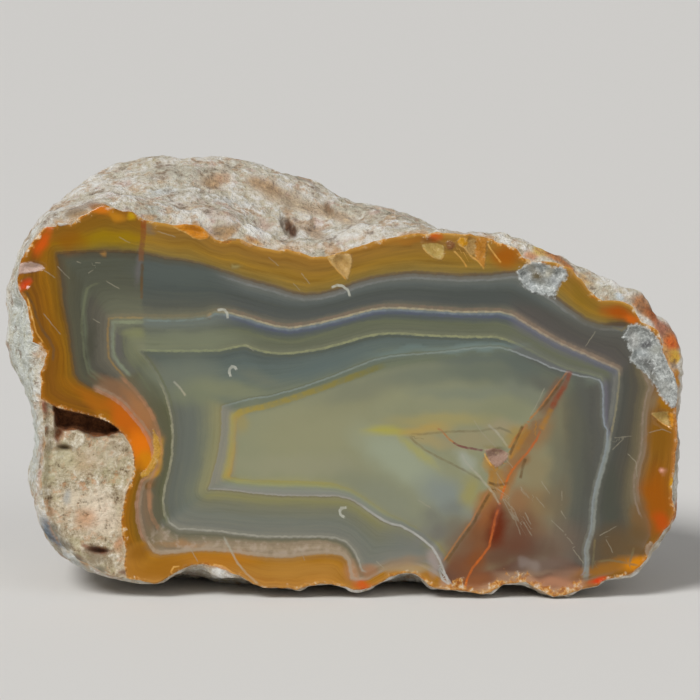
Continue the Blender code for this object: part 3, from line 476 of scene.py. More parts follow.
# Soft stains in the stone, and a painted glow along the lower left lobe: middle, half length and half width
# in pixels, turn in degrees, colour, strength
STAINS_AND_GLOW = [
    (185, 378, 50, 26, 0, (110, 115, 100), 0.8),
    (195, 395, 30, 16, 0, (120, 124, 96), 0.6),
    (200, 338, 60, 9, 0, (116, 120, 98), 0.7),
    (250, 440, 22, 46, 0, (132, 134, 108), 0.6),
    (242, 422, 6, 14, 0, (150, 134, 78), 0.6),
    (315, 432, 80, 40, 6, (140, 138, 107), 0.75),
    (300, 466, 80, 14, 0, (142, 140, 114), 0.6),
    (350, 402, 60, 14, 18, (132, 131, 102), 0.6),
    (370, 386, 70, 14, 14, (118, 120, 100), 0.75),
    (430, 374, 60, 15, 4, (111, 116, 99), 0.85),
    (490, 372, 60, 17, -6, (98, 105, 93), 0.85),
    (530, 379, 40, 10, -20, (97, 102, 91), 0.85),
    (548, 384, 26, 12, -24, (94, 94, 84), 0.75),
    (581, 396, 10, 26, 6, (85, 86, 79), 0.85),
    (470, 393, 70, 9, 0, (116, 122, 106), 0.7),
    (525, 394, 34, 13, -26, (112, 116, 102), 0.8),
    (470, 348, 58, 5, 2, (112, 128, 125), 0.65),
    (400, 352, 40, 5, 8, (104, 120, 116), 0.6),
    (330, 366, 60, 11, 16, (90, 102, 100), 0.6),
    (480, 299, 74, 12, 0, (73, 77, 73), 0.6),
    (180, 275, 54, 12, -4, (82, 89, 84), 0.6),
    (158, 430, 14, 46, 8, (88, 87, 66), 0.75),
    (190, 440, 12, 50, 0, (98, 102, 94), 0.6),
    (400, 460, 60, 24, -33, (146, 152, 130), 0.85),
    (385, 498, 60, 22, -25, (122, 126, 112), 0.5),
    (450, 498, 42, 22, -30, (124, 131, 126), 0.85),
    (412, 540, 44, 22, -35, (110, 112, 106), 0.6),
    (452, 532, 16, 20, -30, (108, 100, 88), 0.8),
    (460, 408, 60, 14, 0, (132, 133, 106), 0.7),
    (505, 410, 40, 18, 10, (124, 126, 100), 0.7),
    (440, 420, 62, 9, 2, (152, 141, 92), 0.8),
    (388, 431, 28, 6, 0, (162, 154, 68), 0.85),
    (424, 430, 32, 6, 4, (168, 142, 78), 0.8),
    (428, 440, 24, 8, -15, (158, 142, 96), 0.7),
    (415, 450, 34, 6, -38, (154, 150, 94), 0.8),
    (470, 440, 40, 12, 0, (146, 134, 102), 0.7),
    (466, 462, 18, 9, -48, (152, 156, 142), 0.75),
    (505, 428, 26, 10, -10, (148, 136, 106), 0.8),
    (516, 436, 12, 14, -50, (150, 128, 72), 0.8),
    (470, 494, 13, 20, -15, (146, 138, 84), 0.85),
    (552, 400, 12, 18, -30, (112, 86, 68), 0.8),
    (560, 430, 22, 50, 0, (108, 102, 80), 0.75),
    (538, 435, 14, 26, -36, (138, 104, 66), 0.75),
    (535, 470, 22, 26, 10, (134, 120, 88), 0.8),
    (524, 444, 9, 26, -32, (136, 102, 56), 0.75),
    (512, 474, 9, 20, -24, (148, 106, 62), 0.75),
    (562, 470, 16, 40, 0, (102, 100, 84), 0.7),
    (535, 504, 30, 22, 0, (130, 104, 70), 0.85),
    (517, 502, 15, 22, 0, (138, 100, 66), 0.8),
    (577, 450, 12, 80, 4, (86, 87, 76), 0.7),
    (556, 500, 16, 30, 0, (106, 96, 76), 0.7),
    (590, 480, 6, 60, 5, (80, 80, 72), 0.7),
    (610, 500, 12, 50, 0, (72, 74, 64), 0.75),
    (434, 520, 18, 14, -35, (110, 110, 101), 0.75),
    (140, 552, 17, 9, 24, (134, 86, 14), 0.85),
    (170, 545, 26, 5, 5, (122, 104, 74), 0.8),
    (641, 533, 13, 18, 14, (104, 78, 44), 0.85),
    (655, 530, 7, 14, 24, (130, 80, 24), 0.85),
    (636, 552, 13, 8, -16, (108, 78, 36), 0.85),
    (626, 565, 17, 5, -12, (140, 94, 30), 0.8),
    (368, 571, 9, 8, 0, (156, 110, 76), 0.8),
    (408, 558, 38, 9, 0, (118, 118, 108), 0.9),
    (404, 568, 32, 3.5, -2, (148, 134, 102), 0.8),
    (436, 534, 14, 9, 50, (107, 104, 96), 0.8),
    (420, 538, 16, 8, 40, (114, 114, 107), 0.7),
    (454, 508, 14, 12, 0, (113, 115, 106), 0.7),
    (528, 572, 36, 4, 3, (152, 124, 100), 0.75),
    (570, 573, 20, 6, 8, (144, 110, 88), 0.7),
    (485, 358, 56, 7, 3, (95, 102, 93), 0.8),
    (520, 366, 28, 8, -22, (90, 97, 90), 0.8),
    (228, 388, 44, 11, -8, (126, 128, 99), 0.7),
    (262, 378, 30, 8, -18, (113, 115, 97), 0.5),
    (545, 546, 46, 30, 12, (110, 92, 77), 0.85),
    (528, 522, 26, 16, -30, (118, 88, 62), 0.8),
    (520, 551, 40, 16, 4, (92, 68, 54), 0.85),
    (512, 538, 30, 26, 8, (100, 62, 44), 0.85),
    (466, 552, 24, 30, -36, (112, 80, 58), 0.9),
    (472, 566, 34, 18, 0, (112, 72, 48), 0.9),
    (482, 530, 20, 26, -34, (116, 72, 42), 0.9),
    (478, 558, 12, 24, -34, (124, 72, 36), 0.85),
    (490, 510, 14, 24, -30, (140, 84, 42), 0.85),
    (497, 527, 12, 27, -12, (98, 36, 8), 0.95),
    (498, 560, 16, 12, 0, (98, 68, 50), 0.85),
    (494, 476, 8, 18, 0, (152, 110, 52), 0.85),
    (488, 462, 6, 8, 0, (160, 128, 68), 0.7),
    (484, 500, 7, 18, -40, (150, 102, 48), 0.85),
    (508, 476, 8, 15, -20, (146, 102, 58), 0.75),
    (522, 463, 7, 12, -32, (132, 94, 56), 0.75),
    (503, 488, 7, 10, 0, (160, 108, 56), 0.8),
    (494, 447, 12, 4, 0, (132, 116, 74), 0.7),
    (546, 564, 34, 8, 6, (110, 92, 80), 0.8),
    (560, 583, 38, 8, -3, (172, 122, 92), 0.85),
    (505, 577, 16, 7, 6, (142, 112, 88), 0.7),
    (525, 562, 7, 6, 0, (128, 114, 106), 0.7),
    (534, 566, 8, 6, -20, (134, 120, 110), 0.7),
    (474, 582, 26, 8, 8, (140, 84, 46), 0.7),
    (402, 567, 30, 5, 0, (168, 142, 102), 0.7),
    (434, 562, 7, 16, 0, (154, 140, 134), 0.75),
    (400, 563, 34, 7, 8, (140, 118, 94), 0.7),
    (135, 334, 12, 6, 0, (132, 134, 88), 0.55),
    (138, 268, 22, 4, 86, (106, 100, 102), 0.5),
    (132, 350, 9, 22, 0, (118, 120, 94), 0.45),
    (118, 340, 5, 24, 0, (94, 90, 88), 0.5),
    (90, 345, 7, 26, -8, (70, 69, 57), 0.7),
    (104, 238, 46, 8, 2, (142, 112, 2), 0.7),
    (68, 240, 22, 14, 0, (134, 80, 4), 0.75),
    # partly the band's own orange, partly a painted glow along the thin lower left lobe
    (106, 405, 48, 10, -28, (164, 94, 12), 0.75),
    (128, 422, 34, 14, -50, (184, 92, 8), 0.95),
    (141, 448, 22, 14, -75, (216, 112, 6), 0.95),
    (147, 462, 13, 10, -80, (196, 122, 6), 0.9),
    (116, 388, 30, 8, -30, (126, 92, 64), 0.8),
    (142, 412, 34, 9, -55, (158, 108, 66), 0.85),
    (159, 452, 17, 6, -88, (196, 144, 38), 0.9),
    (151, 473, 12, 5, 30, (178, 130, 30), 0.8),
    (148, 484, 10, 6, 20, (104, 72, 24), 0.7),
    (150, 500, 4, 12, 0, (160, 118, 84), 0.7),
    (157, 512, 6, 30, 4, (92, 88, 70), 0.7),
    (155, 538, 14, 10, -40, (112, 100, 74), 0.75),
    (180, 545, 30, 4, 0, (160, 122, 84), 0.65),
    (168, 570, 54, 14, 0, (150, 97, 16), 0.85),
    (220, 560, 44, 10, 0, (172, 110, 26), 0.7),
    (300, 570, 60, 10, 0, (174, 126, 56), 0.5),
    (616, 548, 36, 26, 20, (96, 76, 50), 0.85),
    (608, 568, 40, 8, 12, (150, 98, 28), 0.85),
    (636, 565, 18, 7, 20, (206, 128, 4), 0.9),
    (600, 581, 11, 5, 14, (206, 56, 18), 0.95),
    (362, 585, 13, 7, 0, (196, 84, 26), 0.9),
    (352, 574, 9, 14, 0, (168, 116, 76), 0.6),
    (656, 498, 17, 36, 0, (150, 80, 0), 0.9),
    (662, 522, 10, 14, 20, (180, 72, 4), 0.85),
    (640, 515, 10, 16, 20, (112, 84, 50), 0.8),
    (660, 440, 14, 22, 0, (128, 84, 14), 0.85),
    (652, 402, 10, 12, -20, (124, 104, 76), 0.8),
    (666, 400, 8, 12, 0, (158, 106, 14), 0.8),
    (673, 482, 3, 9, 0, (206, 150, 14), 0.85),
    (662.5, 472, 2.5, 4, 0, (232, 170, 150), 0.95),
    (42, 243, 18, 7, 62, (200, 82, 8), 0.9),
    (49, 223, 6, 8, 0, (202, 96, 40), 0.9),
    (23, 284, 8, 6, 40, (200, 64, 12), 0.9),
    (100, 210, 13, 5, -10, (204, 112, 16), 0.9),
    (116, 216, 12, 5, -18, (184, 122, 22), 0.85),
    (131, 216, 6, 6, 0, (186, 146, 6), 0.9),
    (90, 226, 22, 7, 10, (128, 88, 16), 0.7),
    (150, 229, 6, 5, 0, (112, 100, 84), 0.6),
    (506, 256, 18, 14, -20, (154, 84, 2), 0.9),
    (435, 237, 9, 5, 0, (200, 84, 14), 0.9),
    (420, 240, 26, 4, 4, (136, 84, 24), 0.7),
    (618, 314, 22, 9, -12, (158, 74, 2), 0.95),
    (632, 320, 10, 6, 0, (194, 92, 16), 0.9),
    (620, 326, 16, 4, 0, (66, 54, 44), 0.8),
    (582, 296, 26, 10, -46, (128, 98, 24), 0.7),
    (385, 243, 44, 4, 6, (164, 110, 36), 0.5),
    (237, 267, 7, 2.5, -20, (152, 142, 92), 0.7),
    (102.5, 253, 3.5, 3.5, 0, (152, 112, 58), 0.9),
    (209, 316, 3.5, 3.5, 0, (150, 120, 84), 0.9),
]

# Pale chips and patches: outline, colour as seen
CHIP_PATCHES = [
    ([
        (327, 256), (338, 255), (351, 254), (352, 262), (350, 271), (347.5, 280), (339, 272), (332, 264),
    ], (190, 154, 92)),
    ([(421, 245), (428, 243), (436, 243), (444, 246), (444, 256), (441, 259.5), (434, 258), (427, 252.5)],
     (180, 154, 84)),
    ([(457, 242), (460, 237.5), (468, 238), (467.5, 244), (463.5, 247)], (210, 148, 6)),
    ([(468.5, 240), (475, 238.5), (476, 247), (474, 256), (470, 254.5), (464.5, 248)], (176, 142, 84)),
    ([(476, 237.5), (487, 238), (486, 250), (484.5, 268), (479, 262), (475, 257)], (180, 118, 28)),
    ([(651, 413), (662, 411.5), (668, 412), (670, 426), (662.5, 423)], (178, 150, 84)),
    ([(669, 412), (673.5, 413), (673.5, 428), (671, 427)], (212, 140, 20)),
    ([
        (172, 225.5), (190, 222), (208, 223), (209, 238), (199.5, 239), (193, 237.5), (186.5, 232.5),
        (179.5, 229.5),
    ], (204, 128, 2)),
    ([(210, 223), (220, 220), (232, 223), (237, 230), (236, 240), (225, 241), (211, 238)], (154, 130, 96)),
    ([(240, 233), (250, 238), (258, 245), (250, 247), (241, 243)], (184, 136, 74)),
    ([(16, 264), (30, 262), (42, 265), (45, 269), (34, 272), (18, 274)], (204, 178, 166)),
    ([(645, 547), (651, 541), (655, 546), (653, 553), (648, 559), (645, 553)], (156, 134, 110)),
    ([(446, 242.5), (450, 240.5), (454.5, 242.5), (455, 247), (451, 249.6), (446.5, 248)], (124, 76, 34)),
    ([(484.5, 450), (493, 448), (502, 449.5), (508.5, 453.5), (507, 459.5), (500.5, 465.5), (495.5, 467.5),
      (490.5, 462.5), (486.5, 455)], (158, 124, 108)),
    ([(58, 210), (74, 208), (80, 214), (72, 223), (60, 226), (55, 222)], (204, 200, 190)),
    ([(212, 567), (216, 565), (223, 566.5), (231, 572), (238, 577), (228, 574), (218, 571)], (196, 142, 90)),
    ([
        (153, 429), (158, 437), (160, 445), (161, 453), (158, 461), (154, 469), (148, 476), (142, 478),
        (140, 474), (147, 469), (150, 463), (153, 455), (154, 447), (153, 438),
    ], (190, 142, 44)),
]

# Cracks and lines, with painted highlights along the chips' edges: half width in pixels, softness, colour at
# the start, colour at the end, strength, lines
CRACKS = {
    "wedge": (4.0, 6.0, (112, 82, 62), (144, 100, 58), 0.6, [
        [(566, 376), (556, 392), (546, 409), (537, 424), (528, 439), (519, 454), (509, 469), (501, 482)],
    ]),
    "red_haze": (0.8, 3.2, (124, 74, 56), (132, 56, 26), 0.8, [
        [(571, 370), (565, 385), (556, 399), (551, 410)],
        [(500, 502), (497, 514), (494, 525), (491, 536)],
    ]),
    "amber_zone": (0.6, 4.0, (150, 106, 42), (178, 120, 30), 0.6, [
        [(552, 408), (546, 419), (541, 430)],
        [(528, 423), (518, 436), (509, 449)],
        [(530, 428), (523, 438), (517, 449), (508, 459)],
        [(485, 456), (489, 463), (495, 468)],
        [(500, 468), (501, 479), (503, 490)],
        [(492, 470), (491, 478), (490, 486)],
    ]),
    "yellow_stripe": (1.6, 2.8, (158, 138, 64), (112, 108, 60), 0.85, [
        [(236, 424), (236, 416), (240, 412), (250, 409.5), (260, 407.5), (270, 405), (280, 402), (290, 399),
         (300, 396), (310, 392), (320, 389), (330, 385), (340, 381.5), (350, 378), (360, 374), (372, 369.5),
         (388, 364)],
    ]),
    "inner_lines": (0.5, 1.4, (108, 110, 84), (98, 102, 80), 0.55, [
        [(103, 282.5), (94, 284.5), (87, 288.5), (84, 304), (81.5, 322), (82, 332), (84, 355), (88.5, 373),
         (101, 383.5)],
        [(253, 333.6), (268, 338.7), (288, 342.6), (300, 341.3), (320, 335.5), (340, 328.5), (358, 323),
         (377, 321.4), (409, 322)],
        [(124, 334), (124, 345), (126, 355), (133, 365), (141, 377), (152, 394)],
    ]),
    "old_crack": (1.5, 2.2, (136, 64, 22), (108, 82, 56), 0.85, [
        [(143.8, 218), (143.2, 235), (141.5, 250), (141, 263)],
    ]),
    "orange_crack": (0.3, 1.2, (156, 108, 74), (172, 110, 50), 0.8, [
        [(568, 370), (562, 379), (553, 390.5), (543, 404), (536, 412.5), (528, 421)],
        [(528, 423), (517, 436), (508, 449)],
        [(437, 428), (442, 431), (449, 439), (454, 443)],
        [(489, 489), (484, 498), (478, 508.5), (471, 522), (459, 538), (450, 551.5), (442, 563.5)],
    ]),
    "red_crack": (0.4, 1.4, (168, 88, 46), (196, 98, 28), 0.9, [
        [(541, 429), (537, 439), (528, 452), (517, 464), (509, 475), (504, 489), (500, 502)],
        [
            (499, 506), (495, 519), (492, 534), (489, 547), (480, 559), (472.5, 568), (467.5, 578),
            (464.5, 590),
        ],
    ]),
    "dark_crack": (0.6, 1.6, (84, 62, 34), (104, 78, 48), 0.75, [
        [(523, 425), (519, 434), (515, 443), (509, 456)],
        [(525.5, 458), (522.6, 468), (520.4, 479)],
        [(488, 482), (496, 485.5), (509, 483)],
        [(491, 491), (486, 500), (480, 510), (473, 524), (461, 540), (452, 553), (444, 565)],
        [(564, 378), (555, 391), (546, 403), (538, 412)],
        [(142.3, 262), (141.8, 280), (141.6, 300)],
        [(20, 288), (27, 293), (33, 305), (36.5, 317), (43, 331), (49, 339), (54, 349), (52.5, 363)],
    ]),
    "purple_crack": (0.6, 1.0, (112, 54, 50), (112, 84, 80), 0.9, [
        [(452, 442), (458, 445.5), (467, 448), (476, 449.3), (484, 450.5)],
    ]),
    "brown_lines": (0.4, 1.4, (120, 104, 68), (108, 104, 82), 0.6, [
        [(408, 434), (425, 434), (438, 432.5), (450, 431.5), (465, 431.3), (480, 431), (490, 429), (500, 428),
         (508, 431), (515, 435.5)],
        [
            (408, 434), (415, 442), (425, 449.5), (435, 455.5), (449, 462.5), (464, 470), (476, 477),
            (485, 483),
        ],
        [(630, 324), (622, 330), (612, 327)],
        [(634, 547), (632, 555), (629, 565)],
        [(596, 562), (610, 560), (626, 563), (640, 566)],
        [(595, 538), (594, 552), (592, 570)],
    ]),
    "bright_line": (1.0, 2.8, (128, 135, 132), (128, 130, 123), 0.9, [
        [(610, 432), (608.6, 440), *moved(RIGHT_SIDE, -0.8), (585, 584)],
    ]),
    "pale_thread": (0.5, 1.2, (150, 150, 142), (184, 182, 176), 0.85, [
        [(355, 501), (372, 513), (385, 521), (392, 524), (400, 525.5), (408, 529.5), (417, 535), (425, 541),
         (432, 547.5), (437, 555), (441, 563), (444.5, 573), (450, 583), (456, 590)],
        [(439, 568), (442, 579), (450, 585)],
    ]),
    "veil": (0.3, 1.5, (156, 155, 142), (176, 166, 140), 0.6, [
        [(487.4, 424.4), (496, 431), (502, 439), (508, 447)],
        [(461, 451), (464, 459.6), (470, 467), (478.7, 475.7), (486, 484.5), (493.3, 493.3), (500.6, 506.5)],
        [(223, 535), (229.5, 547.5), (236.7, 562), (246, 573), (259, 585)],
        [(173, 381), (180, 388), (186, 396)],
    ]),
    "scratches": (0.2, 0.7, (160, 152, 132), (148, 141, 122), 0.42, [
        [(473, 419), (480, 430), (487, 438), (497, 448)], [(505, 458), (513, 468)], [(520, 486), (530, 499)],
        [(541, 481), (550, 494)], [(562, 491), (562, 501)], [(561, 511), (566, 519)],
        [(502, 497), (514, 520)],
        [(523, 521), (532, 536)], [(508, 500), (521, 536)], [(551, 520), (564, 532)],
        [(496, 472), (505, 486)],
        [(567, 537), (573, 544)], [(573, 549), (584, 564)], [(606, 539), (613, 553)],
        [(495, 487), (509, 497)],
        [(599, 536), (617, 526)], [(614, 438), (632, 436)], [(612, 450), (624, 438)],
        [(513, 508), (519, 522)],
        [(627, 453), (636, 462), (637, 478)], [(545, 387), (537, 404), (530, 416)], [(596, 331), (585, 347)],
        [(106, 281), (120, 289)], [(119, 237), (130, 243)], [(157, 231), (176, 237)],
        [(525, 512), (531, 525)],
        [(57, 266), (70, 279)], [(44, 270), (55, 278)], [(93, 319), (100, 323)], [(536, 497), (545, 508)],
        [(43, 313), (61, 335)], [(268, 257), (279, 266)], [(418, 500), (431, 508)], [(521, 490), (528, 498)],
        [(301, 273), (310, 284)], [(293, 283), (300, 290)], [(648, 433), (662, 429), (672, 433)],
        [(299, 546), (305, 561)], [(376, 561), (384, 568)], [(246, 345), (254, 351)],
        [(190, 548), (198, 562)],
        [(490, 453), (493, 451)], [(495, 457), (499, 456)], [(497, 461), (500, 463)],
        [(503, 453), (506, 456)],
        [(77, 261.5), (80.5, 262.8)], [(96, 262.5), (100.5, 263)], [(88.4, 273), (92.8, 270)],
    ]),
    # painted highlights: thin bright lines along the chips' lower left edges
    "chip_edge_highlights": (0.3, 1.0, (212, 166, 92), (206, 148, 66), 0.8, [
        [(422.6, 246.4), (426.8, 252.2), (434.4, 257.7), (441.9, 259), (444, 255)],
        [(453.7, 250.6), (459.5, 256.4), (463.7, 262.3), (467, 267.3)],
        [(457, 243), (464.6, 248), (470.5, 255.6), (477.2, 260.6), (481.4, 264.8), (484.7, 269.9)],
        [(487.3, 243), (492.3, 251.4), (497.3, 258), (501.5, 263.1)],
        [(327, 257), (332, 264), (339, 272), (347, 280)],
        [(172, 226), (179.5, 229.5), (186.4, 232.5), (193.3, 237.3), (199.4, 239), (209, 238)],
        [(651.3, 413.3), (662.7, 423.3), (672.7, 429.3)],
        [(180, 566), (173, 567), (171, 572), (174, 576)],
        [(211, 570), (214, 564.5), (222.7, 565.8), (230, 571), (238, 576)],
        [(27, 296), (31, 312), (36, 332), (44, 344)],
        [(484.5, 453), (487.5, 460), (492, 466)],
    ]),
    "bruises": (0.7, 1.0, (180, 180, 168), (174, 174, 160), 0.85, [
        [(237, 370), (235, 367), (232, 366.5), (229.5, 369), (229, 373), (231, 377)],
        [(347, 507.5), (342, 508), (339.5, 511), (340.5, 515), (345, 517.5)],
        [(331, 288), (337, 285), (343, 286), (348, 290), (350, 297)],
        [(217, 310), (224, 309.5), (227, 313), (228, 319)],
    ]),
}
FAR = 99.0  # pixels, for a place that no line comes near

# More soft ovals: on the rock, on the crystals and on the rind, where a few are painted shade in and beside
# its deep pit
ROCK_TINTS = [
    (84, 515, 40, 24, -20, (228, 210, 182), 0.6),
    (100, 512, 20, 26, 6, (248, 230, 206), 0.75),
    (78, 500, 18, 10, -20, (236, 220, 194), 0.65),
    (86, 520, 13, 13, 0, (204, 146, 100), 0.65),
    (84, 462, 22, 14, 20, (206, 172, 132), 0.5),
    (60, 462, 24, 22, 0, (206, 196, 160), 0.5),
    (104, 452, 28, 18, 0, (206, 190, 164), 0.5),
    (66, 497, 5, 9, 0, (170, 172, 170), 0.7),
    (44.5, 406, 3.5, 10, 8, (160, 76, 40), 0.85),
    (58, 433, 5, 14, 8, (128, 74, 40), 0.95),
    (92, 436, 10, 3, 0, (108, 84, 62), 0.8),
    (112, 436, 7, 3, 0, (112, 92, 64), 0.8),
    (45, 430, 3, 6, 0, (124, 84, 64), 0.8),
    (98, 551, 15, 5, -4, (116, 62, 44), 0.9),
    (86, 546, 8, 3, -30, (150, 96, 70), 0.8),
    (64, 449, 13, 4.5, -12, (112, 90, 58), 0.9),
    (54, 534, 28, 9, -50, (100, 108, 110), 0.85),
    (78, 560, 12, 5, -30, (96, 98, 92), 0.8),
    (97, 570, 13, 5, -18, (112, 108, 96), 0.8),
    (68, 556, 8, 4, -36, (206, 208, 204), 0.7),
    (118, 545, 5, 10, 0, (214, 156, 110), 0.7),
    (96, 559, 16, 6, -8, (140, 124, 100), 0.75),
    (125, 574, 9, 4, 0, (110, 70, 48), 0.8),
]
CRYSTAL_TINTS = [
    (531, 269, 9, 5, -20, (194, 190, 176), 0.8),
    (549, 272, 6, 8, 0, (204, 200, 182), 0.8),
    (526, 279, 5, 6, 0, (182, 186, 184), 0.8),
    (533, 287, 8, 5, 30, (176, 182, 182), 0.7),
    (557, 283, 6, 8, 10, (184, 188, 188), 0.7),
    (537, 277, 9, 6, 0, (116, 104, 76), 0.95),
    (540, 284, 9, 4, 0, (132, 132, 124), 0.8),
    (634, 338, 7, 15, 0, (198, 198, 192), 0.85),
    (646, 344, 8, 6, 0, (100, 102, 104), 0.95),
    (657, 350, 6, 6, 0, (190, 192, 182), 0.8),
    (642, 353, 9, 5, -20, (178, 184, 184), 0.8),
    (647, 365, 14, 8, -40, (116, 118, 115), 0.9),
    (654, 378, 9, 7, -50, (128, 126, 116), 0.85),
    (664, 391, 8, 13, -20, (182, 184, 178), 0.8),
]
RIND_TINTS_AND_SHADE = [
    (18, 350, 22, 110, 4, (214, 217, 208), 0.75),
    (30, 450, 14, 60, 0, (214, 217, 210), 0.6),
    (40, 235, 40, 16, 50, (214, 214, 206), 0.6),
    (190, 195, 60, 14, 0, (214, 208, 196), 0.5),
    (348, 232, 34, 9, 8, (230, 226, 216), 0.7),
    (220, 215, 26, 7, -10, (208, 192, 178), 0.6),
    (300, 247, 60, 6, -5, (222, 206, 186), 0.6),
    (175, 168, 50, 12, 0, (190, 184, 166), 0.6),
    (216, 174, 20, 10, 0, (206, 170, 134), 0.6),
    (280, 192, 44, 15, -16, (194, 174, 146), 0.75),
    (262, 180, 26, 10, -20, (190, 156, 118), 0.7),
    (206, 178, 14, 7, -10, (178, 148, 112), 0.7),
    (160, 188, 26, 6, 12, (206, 208, 204), 0.6),
    (236, 200, 30, 6, -12, (214, 212, 206), 0.6),
    (332, 212, 38, 9, -14, (192, 168, 138), 0.75),
    (223, 231, 16, 9, 0, (164, 138, 106), 0.9),
    (252, 240, 14, 6, -25, (198, 152, 92), 0.85),
    (76, 214, 16, 6, 10, (158, 138, 112), 0.8),
    (98, 207, 13, 5, -10, (160, 108, 60), 0.85),
    (262, 221, 12, 8, -30, (190, 160, 142), 0.6),
    (329, 204, 10, 5, -55, (146, 116, 88), 0.75),
    # painted shade beside the deep pit above the cut
    (312, 230, 20, 8, -20, (184, 160, 134), 0.75),
    (150, 212, 16, 8, 0, (176, 180, 170), 0.5),
    (85, 205, 22, 5, 20, (170, 150, 134), 0.5),
    (52, 532, 24, 10, -52, (116, 126, 136), 0.85),
    (72, 560, 16, 6, -30, (216, 218, 214), 0.7),
    # painted shade in the deep pit above the cut
    (288, 226, 15, 8, -62, (128, 98, 72), 0.9),
    (289, 227, 12, 6, -62, (84, 54, 38), 1.0),
    (541, 251, 11, 9, 0, (220, 184, 104), 0.8),
    (554, 257, 12, 6, -20, (186, 124, 74), 0.85),
    (568, 266, 12, 6, -40, (194, 124, 62), 0.85),
    (530, 257, 10, 5, -20, (210, 152, 116), 0.8),
    (600, 290, 34, 9, -18, (206, 198, 178), 0.6),
    (585, 278, 12, 6, -40, (206, 166, 110), 0.65),
    (620, 296, 8, 6, -20, (196, 206, 212), 0.8),
    (645, 308, 22, 9, -50, (180, 124, 80), 0.85),
    (652, 316, 12, 6, -56, (172, 92, 40), 0.8),
    (664, 330, 16, 10, -40, (176, 118, 92), 0.9),
    (668, 352, 10, 22, -10, (206, 156, 96), 0.85),
    (672, 342, 9, 8, -20, (226, 112, 32), 0.9),
    (675, 357, 8, 9, -10, (230, 180, 62), 0.9),
    (674, 378, 8, 16, 0, (200, 160, 120), 0.8),
    (679, 378, 4, 10, 0, (214, 150, 40), 0.85),
    (676, 430, 6, 44, 0, (200, 178, 154), 0.7),
    (676, 512, 6, 14, 0, (204, 134, 84), 0.9),
    (650, 550, 12, 12, 40, (196, 184, 164), 0.7),
]

STAIN_GROUPS = {
    "stain": STAINS_AND_GLOW, "rock_tint": ROCK_TINTS, "crystal_tint": CRYSTAL_TINTS, "rind_tint": RIND_TINTS_AND_SHADE,
}

# Colours of the grain and the patches, from the low to the high places of the noise
STREAKS = [(0.3, (160, 154, 138)), (0.5, (188, 187, 184)), (0.7, (214, 206, 184))]
RIM_TINTS = [(0.38, (152, 88, 30)), (0.47, (200, 134, 48)), (0.55, (208, 170, 116)), (0.64, (226, 214, 192))]
ROCK_GRAIN = [
    (0.34, (92, 68, 44)), (0.43, (168, 150, 120)), (0.53, (210, 196, 168)), (0.64, (252, 246, 230)),
]
CAVITY_GRAIN = [(0.35, (66, 36, 16)), (0.5, (108, 64, 34)), (0.66, (152, 98, 56))]
FROST = [(0.32, (120, 124, 122)), (0.45, (170, 174, 171)), (0.56, (208, 212, 208)), (0.68, (246, 248, 246))]
RIND_PATCHES = [
    (0.36, (188, 180, 160)), (0.46, (208, 200, 182)), (0.56, (222, 215, 203)), (0.68, (236, 233, 225)),
]
RIND_GRAIN = [
    (0.34, (100, 93, 82)), (0.44, (162, 159, 153)), (0.54, (190, 190, 189)), (0.66, (238, 238, 237)),
]

# Single colours: of the lace, the chips (their glint a painted highlight), the rock, the rim and the rind
LACE_LIGHT, LACE_DARK = (176, 160, 144), (122, 108, 88)
CHIP_SHADE, CHIP_GLINT = (108, 62, 18), (236, 212, 166)
ROCK_GREEN, ROCK_WARM, ROCK_RIM = (196, 188, 146), (204, 146, 98), (230, 206, 172)
RIM_LINE = (212, 168, 104)
RIND_TAN, RIND_PINK, RIND_FROST = (194, 162, 126), (212, 184, 174), (244, 242, 236)
RIND_RECESS, RIND_EDGE = (132, 102, 76), (196, 150, 96)

# The polish and the studio
AGATE_IOR, AGATE_SPECULAR = 1.54, 0.25
POLISH, ROUGHER = 0.16, 0.62  # roughness of the polish, and how much more where the cut is rough
RIND_ROUGHNESS, FLOOR_ROUGHNESS = 0.85, 0.8
CUT_GRIT, RIND_GRIT = 0.6 * MM, 0.7 * MM  # depth of the fine bumps
FLOOR_TINTS = [(214, 212, 208), (222, 220, 217)]
FLOOR_HALF, FLOOR_LEVEL = 6.0, -0.02 * MM
KEY_LAMP = ((-0.45, -0.55, 0.75), 2.5, 25.0)  # where it shines from, strength, spread in degrees
FILL_LAMP = ((0.7, -0.7, 0.5), 0.6, 60.0)
SKY_COLOUR, SKY_STRENGTH = (0.9, 0.9, 0.9, 1.0), 0.28


# Outlines and the stone's form

def bump_layers(points, layers):
    """Noise in layers, added up."""
    return sum(height * bumps(points, size, seed) for height, size, seed in layers)


def outline(points, smoothing_deg, jag=()):
    """A closed line of pixels as a function: angle round the core -> distance from it in pixels."""
    offset = np.array(points, float) - CORE
    angle = np.arctan2(-offset[:, 1], offset[:, 0])
    order = np.argsort(angle)
    fine = np.radians(np.arange(-180.0, 180.0, ANGLE_STEP))
    radius = np.interp(fine, angle[order], np.hypot(*offset.T)[order], period=2 * math.pi)
    if smoothing_deg:
        bell = np.exp(-0.5 * (fine / math.radians(smoothing_deg)) ** 2)
        spectrum = np.fft.rfft(radius) * np.fft.rfft(np.fft.ifftshift(bell / bell.sum()))
        radius = np.fft.irfft(spectrum, len(fine))
    if jag:
        places = np.c_[radius * np.cos(fine), radius * np.sin(fine), 0 * fine]
        radius = radius + bump_layers(places, jag)
    return lambda turn: np.interp(turn, fine, radius, period=2 * math.pi)


def by_angle(pairs):
    """Pairs of degrees and millimetres as a function of the angle that goes full circle, in metres."""
    degrees, depths = np.array(pairs, float).T
    return lambda turn: MM * np.interp(np.degrees(turn), degrees, depths, period=360.0)


def ease(share):
    share = np.clip(share, 0.0, 1.0)
    return share * share * (3.0 - 2.0 * share)


